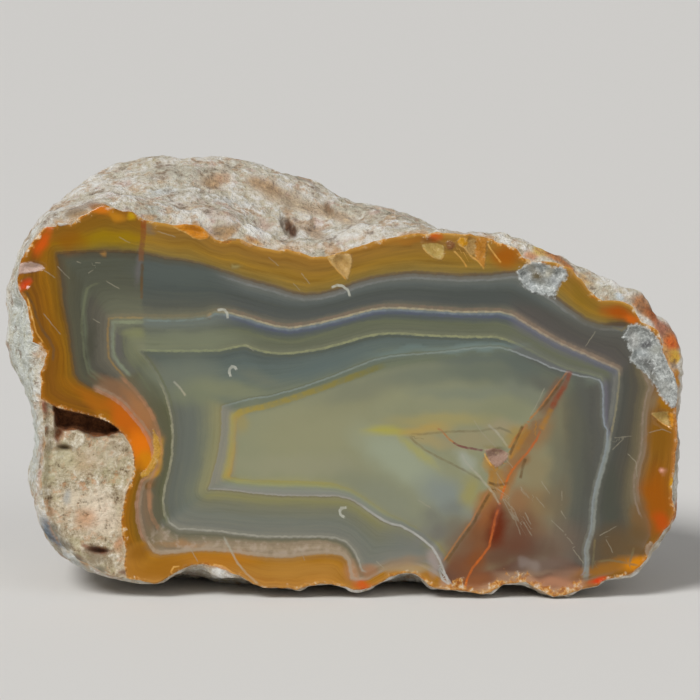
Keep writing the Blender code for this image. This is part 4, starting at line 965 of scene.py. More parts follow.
def bumps(points, size, seed):
    """Smooth noise from -1 to 1 with lumps of about that size."""
    shift = Vector((seed * 7.3, seed * 3.1, seed * 5.7))
    return np.array([noise.noise(Vector(p) / size + shift) for p in points])


cut_edge = outline(CUT_EDGE, 0.0, EDGE_JAG)
rim_crest = outline(RIM_CREST, 0.4)
girth_line = outline(GIRTH_LINE, 2.0)
girth_depth = by_angle(GIRTH_DEPTH)
rim_depth = by_angle(RIM_DEPTH)


def even_turns(count, shift=0.0):
    """Angles round the core at even steps along the stone's widest outline."""
    turns = np.linspace(-math.pi, math.pi, OUTLINE_TURNS)
    x, y = girth_line(turns) * np.cos(turns), girth_line(turns) * np.sin(turns)
    length = np.r_[0.0, np.cumsum(np.hypot(np.diff(x), np.diff(y)))]
    return np.interp((np.arange(count) + shift) * length[-1] / count, length, turns)


def rind_point(turn, station):
    """Pixels right and down in the picture, and metres of depth, of the rind at an angle and a station."""
    to_rim = np.clip(station / RIM, 0.0, 1.0)
    to_girth = np.clip((station - RIM) / (GIRTH - RIM), 0.0, 1.0)
    to_back = np.clip((station - GIRTH) / (1.0 - GIRTH), 0.0, 1.0) * math.pi / 2
    edge, crest, girth = cut_edge(turn), rim_crest(turn), girth_line(turn)
    radius = edge + (crest - edge) * np.sin(to_rim * math.pi / 2) + (girth - crest) * ease(to_girth)
    radius = radius * np.cos(to_back).clip(0.0) ** BACK_ROUNDNESS
    deep = rim_depth(turn)
    depth = deep * to_rim + (girth_depth(turn) - deep) * to_girth
    depth = depth + (THICKNESS - girth_depth(turn)) * np.sin(to_back)
    shift = 1.0 - np.cos(to_back)
    right = CORE[0] + BACK_SHIFT[0] * shift + radius * np.cos(turn)
    down = CORE[1] + BACK_SHIFT[1] * shift - radius * np.sin(turn)
    return right, down, depth


def to_plane(right, down):
    """Pixels to metres right of the middle and up the cut from the floor line."""
    return (np.asarray(right) - MIDDLE[0]) * PIXEL, (MIDDLE[1] - np.asarray(down)) * PIXEL


def to_pixels(x, rise):
    return np.column_stack([x / PIXEL + MIDDLE[0], MIDDLE[1] - rise / PIXEL])


def standing(turn, station):
    """Points of the rind in metres: to the right, up the cut and into the stone."""
    right, down, depth = rind_point(turn, station)
    return np.column_stack([*to_plane(right, down), depth])


def leaned(points):
    """From the cut's frame to the standing stone's, no lower than the floor."""
    x, rise, depth = points.T
    y = rise * math.sin(LEAN) + depth * math.cos(LEAN) - BACK_TO_ORIGIN
    z = rise * math.cos(LEAN) - depth * math.sin(LEAN)
    return np.column_stack([x, y, z.clip(0.0)])


# Distances in the picture

def distance_inside(points, polygon):
    """Distance of each point from a polygon's line, positive inside."""
    points, polygon = np.asarray(points, float), np.asarray(polygon, float)
    nearest = np.full(len(points), np.inf)
    inside = np.zeros(len(points), bool)
    for a, b in zip(polygon, np.roll(polygon, -1, axis=0)):
        side, reach = b - a, points - a
        along = np.clip(reach @ side / (side @ side), 0.0, 1.0)
        nearest = np.minimum(nearest, np.hypot(*(reach - along[:, None] * side).T))
        crosses = (a[1] > points[:, 1]) != (b[1] > points[:, 1])
        with np.errstate(divide="ignore", invalid="ignore"):
            at = a[0] + (points[:, 1] - a[1]) * side[0] / side[1]
        inside ^= crosses & (points[:, 0] < at)
    return np.where(inside, nearest, -nearest)


def along_lines(points, lines):
    """For each point the distance sideways from the nearest line, the share along it, and the distance."""
    nearest, sideways, share = np.full(len(points), FAR), np.full(len(points), FAR), np.zeros(len(points))
    for line in lines:
        corners = np.array(line, float)
        sizes = np.hypot(*np.diff(corners, axis=0).T)
        for k, size in enumerate(sizes):
            run, reach = (corners[k + 1] - corners[k]) / size, points - corners[k]
            along = np.clip(reach @ run, 0.0, size)
            gap = np.hypot(*(reach - along[:, None] * run).T)
            closer = gap < nearest
            nearest = np.where(closer, gap, nearest)
            sideways = np.where(closer, run[0] * reach[:, 1] - run[1] * reach[:, 0], sideways)
            share = np.where(closer, (sizes[:k].sum() + along) / sizes.sum(), share)
    return sideways, share, nearest


def from_oval(pixels, x, y, half_length, half_width, turn_deg):
    """0 in the middle of an oval, 1 on its line, and more beyond it."""
    turn = math.radians(turn_deg)
    right, up = pixels[:, 0] - x, y - pixels[:, 1]
    along = (right * math.cos(turn) + up * math.sin(turn)) / half_length
    across = (up * math.cos(turn) - right * math.sin(turn)) / half_width
    return np.hypot(along, across)


def hollow(pixels, *oval):
    """1 in the middle of a rounded hollow, 0 beyond its rim."""
    return ease(1.0 - from_oval(pixels, *oval)) ** HOLLOW_POWER


def stepped(line, step):
    """A line of pixels in even steps."""
    points = np.array(line, float)
    length = np.r_[0.0, np.cumsum(np.hypot(*np.diff(points, axis=0).T))]
    at = np.linspace(0.0, length[-1], max(2, round(length[-1] / step)))
    return np.column_stack([np.interp(at, length, points[:, k]) for k in (0, 1)])


# The mesh of the stone

def cut_relief(pixels, edge_distance):
    """How far the cut lies behind the polished plane at these pixels."""
    flat = np.c_[pixels, 0 * edge_distance] * PIXEL
    rock = distance_inside(pixels, ROCK_REGION)
    depth = ease(rock / ROCK_FADE) * (ROCK_SETBACK + bump_layers(flat, ROCK_BUMPS))
    for *oval, deep in ROCK_HOLLOWS:
        depth += ease(rock / ROCK_FADE) * deep * hollow(pixels, *oval)
    cavity = distance_inside(pixels, ROCK_CAVITY) + bump_layers(flat, CAVITY_JAG)
    depth += ease(rock / LIP_FADE) * ease(cavity / CAVITY_FADE) * CAVITY_DEPTH
    crystals = bump_layers(flat, CRYSTAL_BUMPS)
    for patch in CRYSTAL_PATCHES:
        inside = distance_inside(pixels, patch)
        depth += ease(inside / CRYSTAL_FADE) * (CRYSTAL_SETBACK + crystals)
    for *oval, deep in CHIPS:
        depth += deep * hollow(pixels, *oval)
    depth = np.where(depth < LEAST_RELIEF, 0.0, depth)
    return depth * ease(edge_distance / EDGE_FADE)


def triangulate(points, edge_count):
    """Triangles over flat points, of which the first ones go round the edge."""
    edges = [(i, (i + 1) % edge_count) for i in range(edge_count)]
    made = delaunay_2d_cdt([Vector(p) for p in points], edges, [list(range(edge_count))], 1, 1e-9)
    source = [origins[0] for origins in made[3]]
    return [[source[i] for i in face] for face in made[2]]


def fine_features():
    """Every line on the cut that wants a finer mesh beside it."""
    closed = [*BAND_LINES.values(), ROCK_EDGE, *CRYSTAL_PATCHES, *(patch for patch, _ in CHIP_PATCHES)]
    lines = [line if line is ROCK_EDGE else line + line[:1] for line in closed]
    for group in CRACKS.values():
        lines += group[-1]
    return np.vstack([stepped(line, FEATURE_STEP) for line in lines])


def near_features(points, reach):
    """True where a point of the cut is within that many pixels of a fine feature."""
    taken = set()
    span = math.ceil(reach)
    for x, y in np.round(fine_features()).astype(int):
        taken.update((x + i, y + j) for i in range(-span, span + 1) for j in range(-span, span + 1))
    return np.array([(x, y) in taken for x, y in np.round(points).astype(int)])


def cut_surface(turns):
    """The cut inside its edge ring: pixels, depth and triangles that start with the ring."""
    edge = np.c_[CORE[0] + cut_edge(turns) * np.cos(turns), CORE[1] - cut_edge(turns) * np.sin(turns)]
    rows, columns = np.meshgrid(np.arange(ROWS), np.arange(FIRST_COLUMN, LAST_COLUMN), indexing="ij")
    rows, columns = rows.ravel(), columns.ravel()
    points = np.c_[(columns + rows / 2) * FINE_STEP, CUT_TOP + rows * FINE_STEP * math.sqrt(3) / 2]
    coarse = (rows % 2 == 0) & (columns % 2 == 0)
    in_box = (points[:, 0] > CUT_LEFT) & (points[:, 0] < CUT_RIGHT) & (points[:, 1] < CUT_BOTTOM)
    points, coarse = points[in_box], coarse[in_box]
    inside = distance_inside(points, edge)
    kept = inside > EDGE_GAP
    points, coarse, inside = points[kept], coarse[kept], inside[kept]
    depth = cut_relief(points, inside)
    wanted = coarse | (inside < EDGE_BELT) | near_features(points, FEATURE_BELT) | (depth > 0.0)
    points, inside, depth = points[wanted], inside[wanted], depth[wanted]
    return points, inside, depth, triangulate(np.vstack([edge, points]) * (1, -1), len(turns))


def rings():
    """(station, number of points, size in a flat disc) of each ring of the rind behind the edge."""
    turns = even_turns(RING_TURNS)
    station, disc, found = 0.0, 1.0, []
    while True:
        step, length = (RIM_PROBE, RIM_STEP) if station < RIM else (RIND_PROBE, RIND_STEP)
        here, after = standing(turns, station), standing(turns, station + step)
        girth = np.linalg.norm(here - np.roll(here, 1, axis=0), axis=1).sum()
        station += step * length / np.linalg.norm(after - here, axis=1).mean()
        if station > LAST_STATION:
            return found
        disc *= math.exp(-2 * math.pi * length / girth)
        found.append((station, max(FEWEST_ROUND, min(EDGE_POINTS, round(girth / length))), disc))


def rind_surface(count):
    """The rind behind the edge ring: points, stations, places in a flat disc, and triangles."""
    around = np.arange(count) * 2 * math.pi / count
    flat, points, stations = [np.c_[np.cos(around), np.sin(around)]], [], []
    for number, (station, ring_count, disc) in enumerate(rings()):
        shift = (number + 1) % 2 / 2
        around = (np.arange(ring_count) + shift) * 2 * math.pi / ring_count
        flat.append(disc * np.c_[np.cos(around), np.sin(around)])
        points.append(standing(even_turns(ring_count, shift), station))
        stations += [station] * ring_count
    flat.append(np.zeros((1, 2)))
    points.append(standing(np.zeros(1), 1.0))
    flat = np.vstack(flat)
    triangles = [face[::-1] for face in triangulate(flat, count)]
    return np.vstack(points), np.array(stations + [1.0]), flat, triangles


def normals(points, triangles):
    """Unit normals out of the stone at the points. The cut's frame is left-handed, hence the order."""
    corners = points[triangles]
    faces = np.cross(corners[:, 2] - corners[:, 0], corners[:, 1] - corners[:, 0])
    total = np.zeros_like(points)
    for k in range(3):
        np.add.at(total, triangles[:, k], faces)
    return total / np.linalg.norm(total, axis=1)[:, None].clip(1e-12)


def pits(points, spacing, radius, chance):
    """1 in the middle of a round pit, 0 between the pits. Only some of the cells hold one."""
    depth = []
    for point in points:
        distances, middles = noise.voronoi(Vector(point) / spacing)
        chosen = noise.noise(middles[0] * 3.7) > chance
        depth.append(ease(1.0 - distances[0] * spacing / radius) if chosen else 0.0)
    return np.array(depth)


def rind_relief(points, stations):
    """How far the rind stands out at these points, and how high its crust alone stands, about -1 to 1."""
    behind = ease((stations - RIM) / LUMP_GROWTH)
    crust = bump_layers(points, CRUST_BUMPS) - SMALL_PIT_DEPTH * pits(points, *SMALL_PITS)
    relief = CRUST_HEIGHT * crust - (PIT_DEPTH + PIT_MORE * behind) * pits(points, *PITS)
    for height, more, size, seed in RIND_LUMPS:
        relief -= (height + more * behind) * bumps(points, size, seed)
    relief *= ease(stations / RIM)
    pixels = to_pixels(points[:, 0], points[:, 1])
    kept = (1.0 - ease((stations - SIGHT_END) / SIGHT_FADE)) * ease((stations - HOLLOW_START) / HOLLOW_FADE)
    for *oval, deep in RIND_HOLLOWS:
        relief -= kept * deep * hollow(pixels, *oval)
    return relief, crust


def add_attribute(mesh, name, values):
    """Numbers at the mesh's points, one or three each, that the materials read."""
    values = np.asarray(values, np.float32)
    kind, key = ("FLOAT", "value") if values.ndim == 1 else ("FLOAT_VECTOR", "vector")
    mesh.attributes.new(name, kind, "POINT").data.foreach_set(key, values.ravel())


def sector_weights(pixels):
    """How far each pixel belongs to each part of the cut, taken in turn."""
    return {name: ease(0.5 + distance_inside(pixels, line) / soft) for name, (soft, line) in SECTORS.items()}


def mark_trim(mesh, pixels, weights):
    """Writes the colour and strength of each fine line, which change from one part of the cut to the next."""
    kept = 1.0
    for soft, line in TRIM_GAPS:
        kept = kept * (1.0 - ease(0.5 + distance_inside(pixels, line) / soft))
    for number, (*line, looks) in enumerate(BAND_TRIM):
        colour, strength = looks.get("above", ((0, 0, 0), 0.0))
        strength = np.full(len(weights["left"]), strength)
        colour = np.outer(strength, linear(colour))
        for name, weight in weights.items():
            tint, here = looks.get(name, ((0, 0, 0), 0.0))
            strength = strength * (1.0 - weight) + weight * here
            colour = colour * (1.0 - weight)[:, None] + np.outer(weight * here, linear(tint))
        add_attribute(mesh, f"trim{number}", strength * kept)
        add_attribute(mesh, f"trim{number}_tint", colour / strength[:, None].clip(1e-4))


def mark_cut(mesh, pixels, edge_distance):
    """Writes where the bands, sectors, patches and cracks lie, for the materials."""
    rock = distance_inside(pixels, ROCK_REGION)
    crystals = np.max([distance_inside(pixels, patch) for patch in CRYSTAL_PATCHES], axis=0)
    chips = np.array([distance_inside(pixels, patch) for patch, _ in CHIP_PATCHES])
    chip, chip_number = chips.max(axis=0), chips.argmax(axis=0)
    rough = np.maximum(ease(0.5 + rock), ease(0.5 + crystals / 2.0))
    weights = sector_weights(pixels)
    values = {
        "edge": edge_distance, "rock": rock, "cavity": distance_inside(pixels, ROCK_CAVITY),
        "crystals": crystals, "chip": chip,
        "chip_tint": np.array([linear(colour) for _, colour in CHIP_PATCHES])[chip_number],
        "rough": np.maximum(rough, CHIP_ROUGHNESS * ease(0.5 + chip / 2.0)),
        **{name: distance_inside(pixels, line) for name, line in BAND_LINES.items()},
        **weights,
    }
    for name, (*_, lines) in CRACKS.items():
        values.update(zip((name + "_side", name + "_share", name + "_gap"), along_lines(pixels, lines)))
    for name, value in values.items():
        add_attribute(mesh, name, value)
    mark_trim(mesh, pixels, weights)


def mark_tints(mesh, pixels, in_sight):
    """Writes the soft stains, with the painted glow and painted shade among them, in slightly wandering
    shapes. They fade where the stone turns away.
    """
    flat = np.c_[pixels, 0 * pixels[:, 0]]
    wander = np.column_stack([bump_layers(flat, WANDER_RIGHT), bump_layers(flat, WANDER_DOWN)])
    for name, ovals in STAIN_GROUPS.items():
        colour, cover = layered(pixels + wander, ovals)
        add_attribute(mesh, name, colour)
        add_attribute(mesh, name + "_cover", cover * in_sight)


def stone_mesh():
    """The whole stone in one closed mesh, with what its materials read."""
    turns = even_turns(EDGE_POINTS)
    edge = standing(turns, 0.0)
    cut_pixels, cut_inside, cut_depth, cut_triangles = cut_surface(turns)
    cut_points = np.c_[np.column_stack(to_plane(*cut_pixels.T)), cut_depth]
    rind_points, stations, disc, rind_triangles = rind_surface(EDGE_POINTS)
    beyond = EDGE_POINTS + len(cut_points)
    rind_triangles = np.array(rind_triangles)
    rind_triangles = np.where(rind_triangles < EDGE_POINTS, rind_triangles, rind_triangles + len(cut_points))
    points = np.vstack([edge, cut_points, rind_points])
    triangles = np.vstack([np.array(cut_triangles), rind_triangles])
    relief, crust = rind_relief(rind_points, stations)
    outward = normals(points, triangles)
    in_sight = ease(0.8 - 4.0 * outward[:, 2])  # 0 where the stone turns away from the picture
    points[beyond:] += outward[beyond:] * relief[:, None]
    mesh = bpy.data.meshes.new("agate_stone")
    mesh.from_pydata(leaned(points).tolist(), [], triangles.tolist())
    mesh.shade_smooth()

    pixels = to_pixels(points[:, 0], points[:, 1])
    on_cut = np.r_[np.zeros(EDGE_POINTS), cut_inside, np.zeros(len(rind_points))]
    mark_cut(mesh, pixels, on_cut)
    mark_tints(mesh, pixels, in_sight)
    add_attribute(mesh, "station", np.r_[np.zeros(beyond), stations])
    add_attribute(mesh, "crust", np.r_[np.zeros(beyond), crust])
    is_rind = np.r_[np.zeros(len(cut_triangles), int), np.ones(len(rind_triangles), int)]
    mesh.polygons.foreach_set("material_index", is_rind)
    no_disc = np.zeros((len(cut_points), 2))
    unwrap(mesh, pixels, np.vstack([disc[:EDGE_POINTS], no_disc, disc[EDGE_POINTS:]]), is_rind)
    return mesh


def unwrap(mesh, pixels, disc, is_rind):
    """The cut fills the upper part of the map as the picture shows it, and the rind a disc below it."""
    corners = np.empty(len(mesh.loops), int)
    mesh.loops.foreach_get("vertex_index", corners)
    cut = (pixels - MAP_CORNER) * (1, -1) / MAP_PIXELS + (0.0, MAP_FLOOR)
    rind = MAP_DISC_MIDDLE + MAP_DISC_HALVES * disc
    places = np.where(np.repeat(is_rind, 3)[:, None] == 1, rind[corners], cut[corners])
    mesh.uv_layers.new(name="OFBake").data.foreach_set("uv", places.astype(np.float32).ravel())


# Materials

def linear(colour):
    """A colour as seen, 0 to 255, as linear values from 0 to 1."""
    share = np.array(colour) / 255.0
    return np.where(share < 0.04045, share / 12.92, ((share + 0.055) / 1.055) ** 2.4)


def layered(pixels, ovals):
    """Soft ovals laid over each other: their joint colour, and how much they cover."""
    colour, cover = np.zeros((len(pixels), 3)), np.zeros(len(pixels))
    for *oval, tint, strength in ovals:
        mask = strength * ease(STAIN_REACH - from_oval(pixels, *oval))
        colour = colour * (1.0 - mask)[:, None] + np.outer(mask, linear(tint))
        cover = cover * (1.0 - mask) + mask
    return colour / cover[:, None].clip(1e-4), cover


class Paint:
    """The nodes of one material, made by short calls that take and give sockets."""

    def __init__(self, name, roughness):
        self.material = bpy.data.materials.new(name)
        self.material.use_nodes = True
        self.tree = self.material.node_tree
        self.shader = self.tree.nodes["Principled BSDF"]
        self.shader.inputs["Roughness"].default_value = roughness

    def join(self, socket, value):
        if isinstance(value, bpy.types.NodeSocket):
            self.tree.links.new(value, socket)
        elif isinstance(value, tuple) and socket.type == "RGBA":
            socket.default_value = (*linear(value), 1.0)
        else:
            socket.default_value = value

    def node(self, kind, inputs=(), **settings):
        made = self.tree.nodes.new(kind)
        for name, value in settings.items():
            setattr(made, name, value)
        for key, value in dict(inputs).items():
            self.join(made.inputs[key], value)
        return made

    def math(self, operation, *values, clamp=False):
        return self.node("ShaderNodeMath", enumerate(values), operation=operation, use_clamp=clamp).outputs[0]

    def plus(self, first, second):
        return self.math("ADD", first, second)

    def times(self, first, second):
        return self.math("MULTIPLY", first, second)

    def scaled(self, value, factor, start):
        """The value times the factor, plus the start."""
        return self.math("MULTIPLY_ADD", value, factor, start)

    def swing(self, value):
        """Noise from 0 to 1 as -0.5 to 0.5."""
        return self.math("SUBTRACT", value, 0.5)

    def number(self, name):
        return self.node("ShaderNodeAttribute", attribute_name=name).outputs["Fac"]

    def tint(self, name):
        return self.node("ShaderNodeAttribute", attribute_name=name).outputs["Color"]

    def rise(self, value, low, high, top=1.0):
        """0 where the value is at low, and top where it is at high, with a smooth change."""
        inputs = {"Value": value, "From Min": low, "From Max": high, "To Min": 0.0, "To Max": top}
        return self.node("ShaderNodeMapRange", inputs, interpolation_type="SMOOTHSTEP").outputs[0]

    def mix(self, share, first, second, blend="MIX"):
        made = self.node("ShaderNodeMix", data_type="RGBA", blend_type=blend)
        self.join(made.inputs[0], share)
        self.join(made.inputs[6], first)
        self.join(made.inputs[7], second)
        return made.outputs[2]

    def ramp(self, share, stops):
        made = self.node("ShaderNodeValToRGB", {0: share})
        elements = made.color_ramp.elements
        while len(elements) < len(stops):
            elements.new(0.5)
        for element, (place, colour) in zip(elements, stops):
            element.position = place
            element.color = (*linear(colour), 1.0)
        return made.outputs[0]

    def noise(self, place, size, detail=2.0, roughness=0.5, fourth=None, twist=0.0):
        """Noise from 0 to 1 with lumps of that size in metres. The fourth value is one more direction."""
        inputs = {"Vector": place, "Scale": 1.0 / size, "Detail": detail, "Roughness": roughness,
                  "Distortion": twist}
        if fourth is None:
            return self.node("ShaderNodeTexNoise", inputs).outputs[0]
        return self.node("ShaderNodeTexNoise", {**inputs, "W": fourth}, noise_dimensions="4D").outputs[0]

    def stripe(self, distance, middle, half_width, softness):
        """1 on a line at that distance, 0 beyond its half width."""
        off = self.math("ABSOLUTE", self.math("SUBTRACT", distance, middle))
        return self.rise(off, half_width + softness, half_width)

    def finish(self, colour, height, depth):
        """Gives the shader its colour, and its bumps from a height that counts up to that depth."""
        bump = self.node("ShaderNodeBump", {"Height": height, "Distance": depth, "Strength": 1.0}).outputs[0]
        self.join(self.shader.inputs["Base Color"], colour)
        self.join(self.shader.inputs["Normal"], bump)
        return self.material

    def object_place(self):
        return self.node("ShaderNodeTexCoord").outputs["Object"]


def by_sector(paint, share, band, sectors):
    """A band's colour at that share of its width, by the part of the cut."""
    mixed = paint.ramp(share, band["above"])
    for name, weight in sectors.items():
        if name in band:
            mixed = paint.mix(weight, mixed, paint.ramp(share, band[name]))
    return mixed


def band_colours(paint, distances, sectors, wander):
    """The agate's bands, a ramp of colours between each two lines, and how deep in the bands a place is."""
    colour, depth = None, 0.0
    for number, (band, width) in enumerate(BANDS):
        outer, inner = distances[number], distances[number + 1]
        gap = paint.math("MAXIMUM", paint.math("SUBTRACT", outer, inner), 0.01)
        share = paint.math("DIVIDE", outer, gap, clamp=True)
        depth = paint.scaled(share, width, depth)
        mixed = by_sector(paint, paint.math("ADD", share, wander, clamp=True), band, sectors)
        colour = mixed if colour is None else paint.mix(paint.rise(outer, -0.6, 0.6), colour, mixed)
    return paint.mix(paint.rise(distances[-1], -2.0, 5.0), colour, INNER_COLOUR), depth


def streak_colours(paint, colour, place, depth, beyond_yellow):
    """Fine streaks that run along the bands, strong in the yellow one."""
    streaks = paint.noise(place, 60 * PIXEL, 4.0, 0.6, paint.times(depth, 24 * PIXEL))
    strength = paint.plus(paint.rise(beyond_yellow, 2.0, -2.0, 0.5), 0.3)
    return paint.mix(strength, colour, paint.ramp(streaks, STREAKS), "SOFT_LIGHT")


def lace_colours(paint, colour, place, outer, inner):
    """The lacy lumps of the pinkish band along the lower edge, between its outer and its inner line."""
    lumps = paint.noise(place, 8 * PIXEL, 2.0)
    within = paint.times(paint.rise(outer, 0.5, 3.0), paint.rise(inner, -3.0, -7.0))
    within = paint.times(within, paint.number("below"))
    colour = paint.mix(paint.times(within, paint.rise(lumps, 0.48, 0.66, 0.4)), colour, LACE_LIGHT)
    return paint.mix(paint.times(within, paint.rise(lumps, 0.48, 0.34, 0.35)), colour, LACE_DARK)


def trim_colours(paint, colour, beads, patchy):
    """The fine lines that edge the bands."""
    for number, (name, middle, half_width, softness, uneven, _) in enumerate(BAND_TRIM):
        line = paint.stripe(paint.plus(paint.number(name), beads), middle, half_width, softness)
        line = paint.times(line, paint.scaled(patchy, uneven, 1.0 - uneven))
        line = paint.times(line, paint.number(f"trim{number}"))
        colour = paint.mix(line, colour, paint.tint(f"trim{number}_tint"))
    return colour


def crack_colours(paint, colour, ragged, patchy):
    """The cracks, threads, scratches and bruises, and the painted highlights along the chips' edges, each
    thinning out at its ends.
    """
    for name, (half_width, softness, start, end, strength, _) in CRACKS.items():
        sideways = paint.plus(paint.number(name + "_side"), ragged)
        line = paint.stripe(sideways, 0.0, half_width, softness)
        line = paint.times(line, paint.scaled(patchy, 0.35, 0.65))
        share = paint.number(name + "_share")
        ends = paint.times(paint.rise(share, 0.0, 0.08), paint.rise(share, 1.0, 0.92))
        reach = half_width + softness
        near = paint.rise(paint.number(name + "_gap"), reach + 4.0, reach + 2.0, strength)
        line = paint.times(paint.times(line, ends), near)
        colour = paint.mix(line, colour, paint.mix(share, start, end))
    return colour


def rim_colours(paint, colour, place, edge, fine):
    """The crust where the agate meets its rind, of uneven width, and broad at the dark wedge's foot."""
    foot = paint.number("foot")
    edge = paint.times(edge, paint.scaled(foot, -0.62, 1.0))
    lumps = paint.swing(paint.noise(place, 9 * PIXEL, 3.0, 0.6))
    width = paint.scaled(lumps, 18.0, edge)
    patchy = paint.rise(paint.noise(place, 24 * PIXEL, 2.0), 0.42, 0.62)
    patchy = paint.math("MAXIMUM", patchy, paint.times(foot, 0.8))
    tint = paint.ramp(paint.noise(place, 5 * PIXEL, 3.0, 0.6), RIM_TINTS)
    line = paint.times(paint.rise(width, 3.2, 0.4, 0.8), patchy)
    colour = paint.mix(line, colour, tint)
    edge = paint.scaled(fine, 5.0, edge)
    return paint.mix(paint.rise(edge, 0.6, -0.8, 0.6), colour, RIM_LINE)


def chip_colours(paint, colour, place, beads):
    """Chips with uneven facets, some darker and some with painted glints."""
    facets = paint.noise(place, 6 * PIXEL, 3.0, 0.6)
    chip = paint.mix(paint.rise(facets, 0.5, 0.34, 0.25), paint.tint("chip_tint"), CHIP_SHADE)
    # painted glints on the lighter facets
    chip = paint.mix(paint.rise(facets, 0.54, 0.7, 0.25), chip, CHIP_GLINT)
    inside = paint.plus(paint.number("chip"), beads)
    return paint.mix(paint.rise(inside, -0.9, 1.1, 0.85), colour, chip)


def rock_colours(paint, place):
    """The pale granular rock with tan, greenish and orange stains, and its dark cavity."""
    grain = paint.noise(place, 8 * PIXEL, 7.0, 0.8)
    rock = paint.ramp(grain, ROCK_GRAIN)
    greenish = paint.rise(paint.noise(place, 17 * PIXEL, 3.0, 0.6), 0.5, 0.66, 0.5)
    rock = paint.mix(greenish, rock, ROCK_GREEN)
    warm = paint.rise(paint.noise(place, 11 * PIXEL, 4.0, 0.65), 0.53, 0.66, 0.6)
    rock = paint.mix(warm, rock, ROCK_WARM)
    rock = paint.mix(paint.rise(paint.number("rock"), 6.0, 1.0, 0.5), rock, ROCK_RIM)
    cover = paint.times(paint.number("rock_tint_cover"), paint.rise(grain, 0.3, 0.5))
    rock = paint.mix(cover, rock, paint.tint("rock_tint"))
    ragged = paint.scaled(paint.swing(grain), 9.0, paint.number("cavity"))
    return paint.mix(paint.rise(ragged, -0.8, 1.0), rock, paint.ramp(grain, CAVITY_GRAIN))


def crystal_colours(paint, place):
    """Frosty patches of fine matted crystals with a darker, clearer middle."""
    mat = paint.noise(place, 5 * PIXEL, 5.0, 0.75, twist=0.7)
    frost = paint.ramp(mat, FROST)
    cover = paint.times(paint.number("crystal_tint_cover"), paint.rise(mat, 0.72, 0.5))
    return paint.mix(cover, frost, paint.tint("crystal_tint"))


def cut_material():
    """The polished agate with its bands, and the rough places of the cut."""
    paint = Paint("polished_agate", POLISH)
    place = paint.object_place()
    sectors = {name: paint.number(name) for name in SECTORS}
    slow = paint.swing(paint.noise(place, 25 * PIXEL, 3.0))
    fine = paint.swing(paint.noise(place, 4.5 * PIXEL))
    patchy = paint.rise(paint.noise(place, 7 * PIXEL, 2.0), 0.4, 0.6)
    beads = paint.times(fine, 2.2)
    edge = paint.math("MINIMUM", paint.number("edge"), paint.times(paint.number("rock"), -1.0))
    distances = [paint.math("MAXIMUM", edge, 0.02)]
    distances += [paint.plus(paint.number(name), beads) for name in BAND_LINES]
    colour, depth = band_colours(paint, distances, sectors, paint.times(slow, 0.1))
    colour = streak_colours(paint, colour, place, depth, distances[1])
    # the stains, with a painted glow along the lower left lobe
    colour = paint.mix(paint.number("stain_cover"), colour, paint.tint("stain"))
    colour = lace_colours(paint, colour, place, distances[1], distances[3])
    colour = trim_colours(paint, colour, beads, patchy)
    colour = crack_colours(paint, colour, paint.times(fine, 1.6), patchy)
    colour = rim_colours(paint, colour, place, edge, fine)
    colour = chip_colours(paint, colour, place, beads)
    colour = paint.mix(paint.rise(paint.number("rock"), -0.6, 0.8), colour, rock_colours(paint, place))
    fringe = paint.times(paint.swing(paint.noise(place, 3.5 * PIXEL, 3.0, 0.6)), 9.0)
    crystals = paint.rise(paint.plus(paint.number("crystals"), fringe), -2.6, 1.4, 0.95)
    colour = paint.mix(crystals, colour, crystal_colours(paint, place))

    rough = paint.number("rough")
    paint.join(paint.shader.inputs["Roughness"], paint.scaled(rough, ROUGHER, POLISH))
    paint.shader.inputs["IOR"].default_value = AGATE_IOR
    paint.shader.inputs["Specular IOR Level"].default_value = AGATE_SPECULAR
    return paint.finish(colour, paint.times(paint.noise(place, 4 * PIXEL, 5.0, 0.7), rough), CUT_GRIT)


def rind_material():
    """The pale crusty rind: frosty on its ridges, tan and pink in patches, brown in its recesses."""
    paint = Paint("rind", RIND_ROUGHNESS)
    place = paint.object_place()
    grain = paint.noise(place, 0.9 * MM, 5.0, 0.7)
    colour = paint.ramp(paint.noise(place, 7 * MM, 5.0, 0.65), RIND_PATCHES)
    tan = paint.rise(paint.noise(place, 2.6 * MM, 4.0, 0.65), 0.5, 0.62, 0.7)
    colour = paint.mix(tan, colour, RIND_TAN)
    pink = paint.rise(paint.noise(place, 2.3 * MM, 4.0, 0.6), 0.56, 0.68, 0.5)
    colour = paint.mix(pink, colour, RIND_PINK)
    height = paint.scaled(paint.swing(grain), 2.4, paint.number("crust"))
    colour = paint.mix(paint.rise(height, 0.1, 0.9, 0.75), colour, RIND_FROST)
    # the rind's tints, with painted shade in and beside its deep pit
    ragged = paint.scaled(paint.swing(grain), 0.9, paint.number("rind_tint_cover"))
    colour = paint.mix(paint.rise(ragged, 0.1, 0.85), colour, paint.tint("rind_tint"))
    colour = paint.mix(paint.rise(height, -0.25, -1.1, 0.6), colour, RIND_RECESS)
    colour = paint.mix(0.5, colour, paint.ramp(grain, RIND_GRAIN), "OVERLAY")
    patchy = paint.rise(paint.noise(place, 2.6 * MM, 3.0), 0.45, 0.6, 0.6)
    beside = paint.times(paint.rise(paint.number("station"), 0.02, 0.0), patchy)
    colour = paint.mix(beside, colour, RIND_EDGE)
    return paint.finish(colour, paint.scaled(paint.noise(place, 2.2 * MM, 5.0, 0.7), 2.0, grain), RIND_GRIT)


# The stone, the camera and the studio

def place_object(name, data):
    made = bpy.data.objects.new(name, data)
    bpy.context.scene.collection.objects.link(made)
    return made


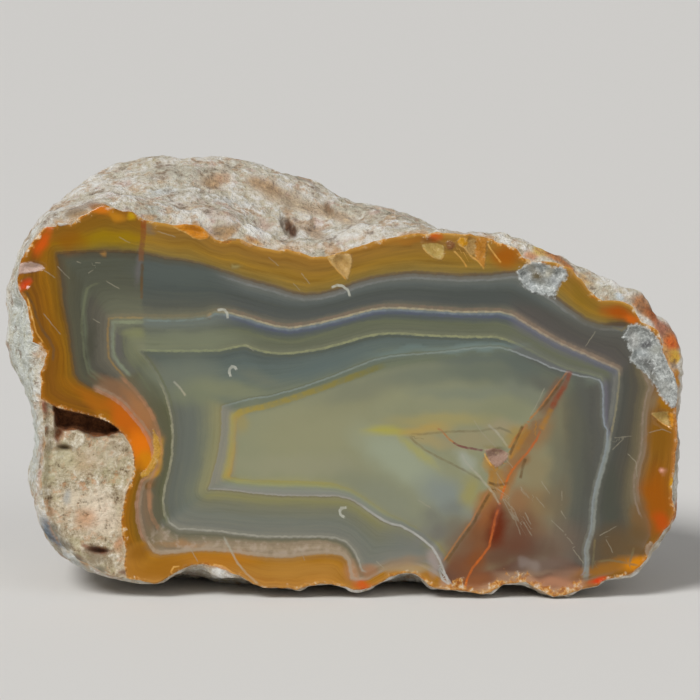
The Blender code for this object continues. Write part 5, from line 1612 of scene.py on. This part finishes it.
def add_stone():
    mesh = stone_mesh()
    mesh.materials.append(cut_material())
    mesh.materials.append(rind_material())
    stone = place_object("agate_stone", mesh)
    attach(stone, "root")
    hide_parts("agate_nodule")


def add_camera():
    """Square onto the cut, with the picture's middle where the photograph has it."""
    x, rise = to_plane(PICTURE / 2, PICTURE / 2)
    middle = leaned(np.array([[x, rise, 0.0]]))[0]
    camera = bpy.data.cameras.new("camera")
    camera.sensor_width = 36.0
    camera.lens = camera.sensor_width * VIEW_DISTANCE / (PICTURE * PIXEL)
    camera.clip_start = 0.01
    holder = place_object("camera", camera)
    holder.location = Vector(middle) + VIEW_DISTANCE * Vector((0.0, -math.cos(LEAN), math.sin(LEAN)))
    holder.rotation_euler = (math.pi / 2 - LEAN, 0.0, 0.0)
    bpy.context.scene.camera = holder


def add_sun(name, direction, strength, spread_deg):
    """A broad distant lamp, shining from that direction."""
    lamp = bpy.data.lights.new(name, "SUN")
    lamp.energy = strength
    lamp.angle = math.radians(spread_deg)
    place_object(name, lamp).rotation_euler = Vector(direction).to_track_quat("Z", "Y").to_euler()


def add_studio():
    """A pale floor under soft light from above and the left."""
    mesh = bpy.data.meshes.new("floor")
    corners = [(-1, -1), (1, -1), (1, 1), (-1, 1)]
    mesh.from_pydata([(x * FLOOR_HALF, y * FLOOR_HALF, FLOOR_LEVEL) for x, y in corners], [], [(0, 1, 2, 3)])
    paint = Paint("floor", FLOOR_ROUGHNESS)
    tint = paint.mix(paint.noise(paint.object_place(), 6.0), *FLOOR_TINTS)
    paint.join(paint.shader.inputs["Base Color"], tint)
    mesh.materials.append(paint.material)
    place_object("floor", mesh)
    add_sun("key", *KEY_LAMP)
    add_sun("fill", *FILL_LAMP)
    world = bpy.data.worlds.new("studio")
    world.use_nodes = True
    background = world.node_tree.nodes["Background"]
    background.inputs["Color"].default_value = SKY_COLOUR
    background.inputs["Strength"].default_value = SKY_STRENGTH
    bpy.context.scene.world = world
    bpy.context.scene.view_settings.view_transform = "Standard"


add_stone()
add_camera()
add_studio()
